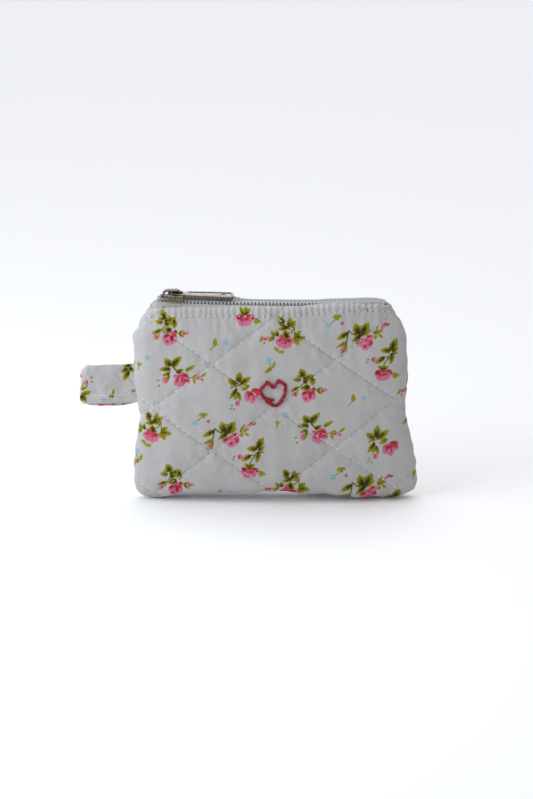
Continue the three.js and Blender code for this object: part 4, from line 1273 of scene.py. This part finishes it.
def build_tab():
    """The tab: one strip folded in half, its corners drawn in at the fold and its back half sagging."""
    count, face = 190, 64
    line, run = tab_path(count)
    along = np.gradient(line, axis=0)
    along /= np.linalg.norm(along, axis=1, keepdims=True)
    out = np.stack([-along[:, 1], along[:, 0]], 1)
    across, depth = tab_section(face)
    v = across[None, :] + 0 * run[:, None]
    to_end = np.clip((TAB_SEAM_X - line[:, :1]) / (TAB_SEAM_X - TAB_END_X), 0, 1)
    is_back = smooth((run[:, None] / run[-1] - 0.42) / 0.16)
    corners = 2.6 * np.clip((v - TAB_TOP + 4.2) / 4.2, 0, 1) ** 2.4
    corners += 0.7 * np.clip((TAB_LOW + 2.2 - v) / 2.2, 0, 1) ** 2 - 0.35 * np.clip((50 - v) / 8, 0, 1)
    x = line[:, :1] + corners * to_end ** 3
    z = v + 0.9 * (1 - to_end) - TAB_SAG * is_back * np.sin(math.pi * to_end) ** 0.5
    z = z + 0.12 * waves(run, run * 0, 71, 5, 12)[:, None]
    pillow = 0.16 * waves(run[:, None], v, 72, 5, 16) + 0.05 * waves(run[:, None], v, 73, 2, 5)
    pillow += 0.25 * np.sin(math.pi * np.clip((v - TAB_LOW) / (TAB_TOP - TAB_LOW), 0, 1)) ** 0.6
    pillow -= 0.16 * np.exp(-((v - TAB_ROW_Z) / 0.5) ** 2)
    swell = depth + pillow * (depth > 0)
    points = np.stack([x + out[:, :1] * swell, line[:, 1:] + out[:, 1:] * swell, z], -1)
    columns = points.shape[1]
    faces = quads(count, columns, around=True)
    faces.append(list(range(columns))[::-1])
    faces.append([(count - 1) * columns + k for k in range(columns)])
    u = run[:, None] + 0 * v
    canvas = Print(TAB_SEAM_X - u, v)
    tab_front_print(canvas)
    tab_back_print(canvas)
    ink, deep = canvas.fields()
    piece = mesh_piece("folded_tab", points, faces, MATERIALS["printed_cotton"],
                       cloth=cloth_coordinates(u, v), ink=ink, deep=deep)
    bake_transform(piece)
    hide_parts("side_tab")

    stitches = []
    row = points[:count // 2, np.argmin(np.abs(across[:face] - TAB_ROW_Z))]
    for start in np.arange(-77.0, -59.5, TAB_STEP):
        ends = [(row[np.argmin(np.abs(line[:count // 2, 0] - at))], np.array([0, -1.0, 0]))
                for at in (start, start + TAB_STITCH)]
        stitches.append(stitch(ends, TAB_LIFT, TAB_THREAD))
    add_piece("tab_topstitch_row", joined(stitches), "sewing_thread", "tab", "side_tab_topstitch")


def tab_front_print(p):
    p.at(-59.2, 57, 7)
    p.leaves((0, 0.2, -2.6, 1.2, 0.9), (-0.3, -0.4, -3.2, -1.8, 2.0, 2, 0.8),
             (0.3, -0.2, 2.4, -1.9, 2.0, 2, 0.9), (0.2, -1.6, -2.2, -5.6, 2.0, 0, 0.8),
             (0, 0, 0.3, 2.9, 2.2, 2, 0.8))
    p.at(-76.9, 51, 5)
    p.bud((0, 0), (0.75, 1.4), 0, 1)
    p.stroke(0, ((-1.7, -3.4), (-0.9, 0.4)), 0.6, 0.2)
    p.leaf((-1.6, -3.2), (1.0, -1.2), 0.9)
    p.dash((2.2, 2.4), 55)
    p.dash((2.4, 0.4), 20)
    p.at(-78.4, 45.2, 6)
    p.leaves((-0.2, 0.2, 3.7, 1.9, 2.0, 0, 0.5), (0, 0, 1.6, -3.0, 2.0, 2, 0.8),
             (0, 0, -1.2, -3.0, 1.9, 2, 0.8))
    p.at(-66, 44.7, 5)
    p.leaves((0, 0, 0.8, 3.6, 0.8), (0, 0.2, -1.6, -0.4, 0.9), (0, 0.2, 0.3, -1.1, 0.9))
    p.at(-69.7, 43.2, 3)
    p.blossom((0, 0), 1.3)
    p.at(-57.2, 46.6, 3)
    p.leaf((-0.6, -0.6), (0.6, 0.8), 0.9)
    p.bud((0.9, 0.2), (0.7, 0.7))


def tab_back_print(p):
    for draw, u, v in ((sprig_spread, -91, 50), (umbel_and_blossom, -84.5, 53), (sprig_tall, -99, 45)):
        p.at(u, v)
        draw(p)
    p.at(-89.3, 41.9, 10)
    p.bud((0, 0), (2.7, 0.9), 0, 1)
    p.leaves((-2.7, 0.1, -5.0, 0.2, 0.9), (-7.6, 0, -9.2, 0.4, 0.9))


build_tab()

# ---- camera, lights, floor ----

CAMERA_TURN = math.radians(19)
CAMERA_AWAY, CAMERA_LENS = 2600, 278.5
aim = np.array([-1.26, 0, 42.9])
camera_data = bpy.data.cameras.new("camera")
camera_data.lens = CAMERA_LENS
camera = bpy.data.objects.new("camera", camera_data)
bpy.context.scene.collection.objects.link(camera)
offset = np.array([0, -math.cos(CAMERA_TURN), math.sin(CAMERA_TURN)]) * CAMERA_AWAY
camera.location = Vector((aim + offset) * MM)
camera.rotation_euler = (math.radians(90) - CAMERA_TURN, 0, 0)
bpy.context.scene.camera = camera


def soft_light(name, azimuth, elevation, strength, spread, colour):
    """Even light from one direction, whose spread in degrees softens its shadows."""
    data = bpy.data.lights.new(name, "SUN")
    data.energy, data.angle, data.color = strength, math.radians(spread), colour
    light = bpy.data.objects.new(name, data)
    light.rotation_euler = (math.radians(90 - elevation), 0, math.radians(azimuth))
    bpy.context.scene.collection.objects.link(light)


soft_light("overhead", 165, 68, 1.7, 70, (0.97, 0.98, 1.0))
soft_light("room", 62, 30, 0.15, 60, (1.0, 0.9, 0.78))

WINDOW_AT, WINDOW_AIM = Vector((-0.35, -0.15, 0.25)), Vector((0, 0, 0.045))  # in metres
window = bpy.data.lights.new("window", "AREA")
window.shape, window.size, window.energy, window.color = "SQUARE", 0.36, 1.2, (0.93, 0.97, 1.0)
window_frame = bpy.data.objects.new("window", window)
window_frame.location = WINDOW_AT
window_frame.rotation_euler = (WINDOW_AT - WINDOW_AIM).to_track_quat("Z", "Y").to_euler()
bpy.context.scene.collection.objects.link(window_frame)

# The room's light, from left to right.
COOL_LEFT, GREY_MIDDLE, DIM_RIGHT = (0.55, 0.64, 0.80, 1), (0.42, 0.42, 0.42, 1), (0.10, 0.07, 0.045, 1)
world = bpy.data.worlds.new("studio")
world.use_nodes = True
nodes, links = world.node_tree.nodes, world.node_tree.links
direction = nodes.new("ShaderNodeTexCoord")
split = nodes.new("ShaderNodeSeparateXYZ")
links.new(direction.outputs["Generated"], split.inputs[0])
sky = nodes.new("ShaderNodeValToRGB")
left, right = sky.color_ramp.elements
left.color, right.color = COOL_LEFT, DIM_RIGHT
sky.color_ramp.elements.new(0.5).color = GREY_MIDDLE
across = nodes.new("ShaderNodeMapRange")
across.inputs["From Min"].default_value = -1
links.new(split.outputs["X"], across.inputs["Value"])
links.new(across.outputs["Result"], sky.inputs["Fac"])
links.new(sky.outputs["Color"], nodes["Background"].inputs["Color"])
nodes["Background"].inputs["Strength"].default_value = 1
bpy.context.scene.world = world
bpy.context.scene.view_settings.view_transform = "Standard"

FLOOR_HALF, FLOOR_Z = 15, -0.0004  # in metres
floor_mesh = bpy.data.meshes.new("floor")
corners = [(x * FLOOR_HALF, y * FLOOR_HALF, 0) for x, y in ((-1, -1), (1, -1), (1, 1), (-1, 1))]
floor_mesh.from_pydata(corners, [], [(0, 1, 2, 3)])
floor = bpy.data.objects.new("floor", floor_mesh)
floor.location.z = FLOOR_Z
bpy.context.scene.collection.objects.link(floor)
floor_mesh.materials.append(Finish("pale_floor", Roughness=0.9).finish((0.94, 0.94, 0.94, 1)))
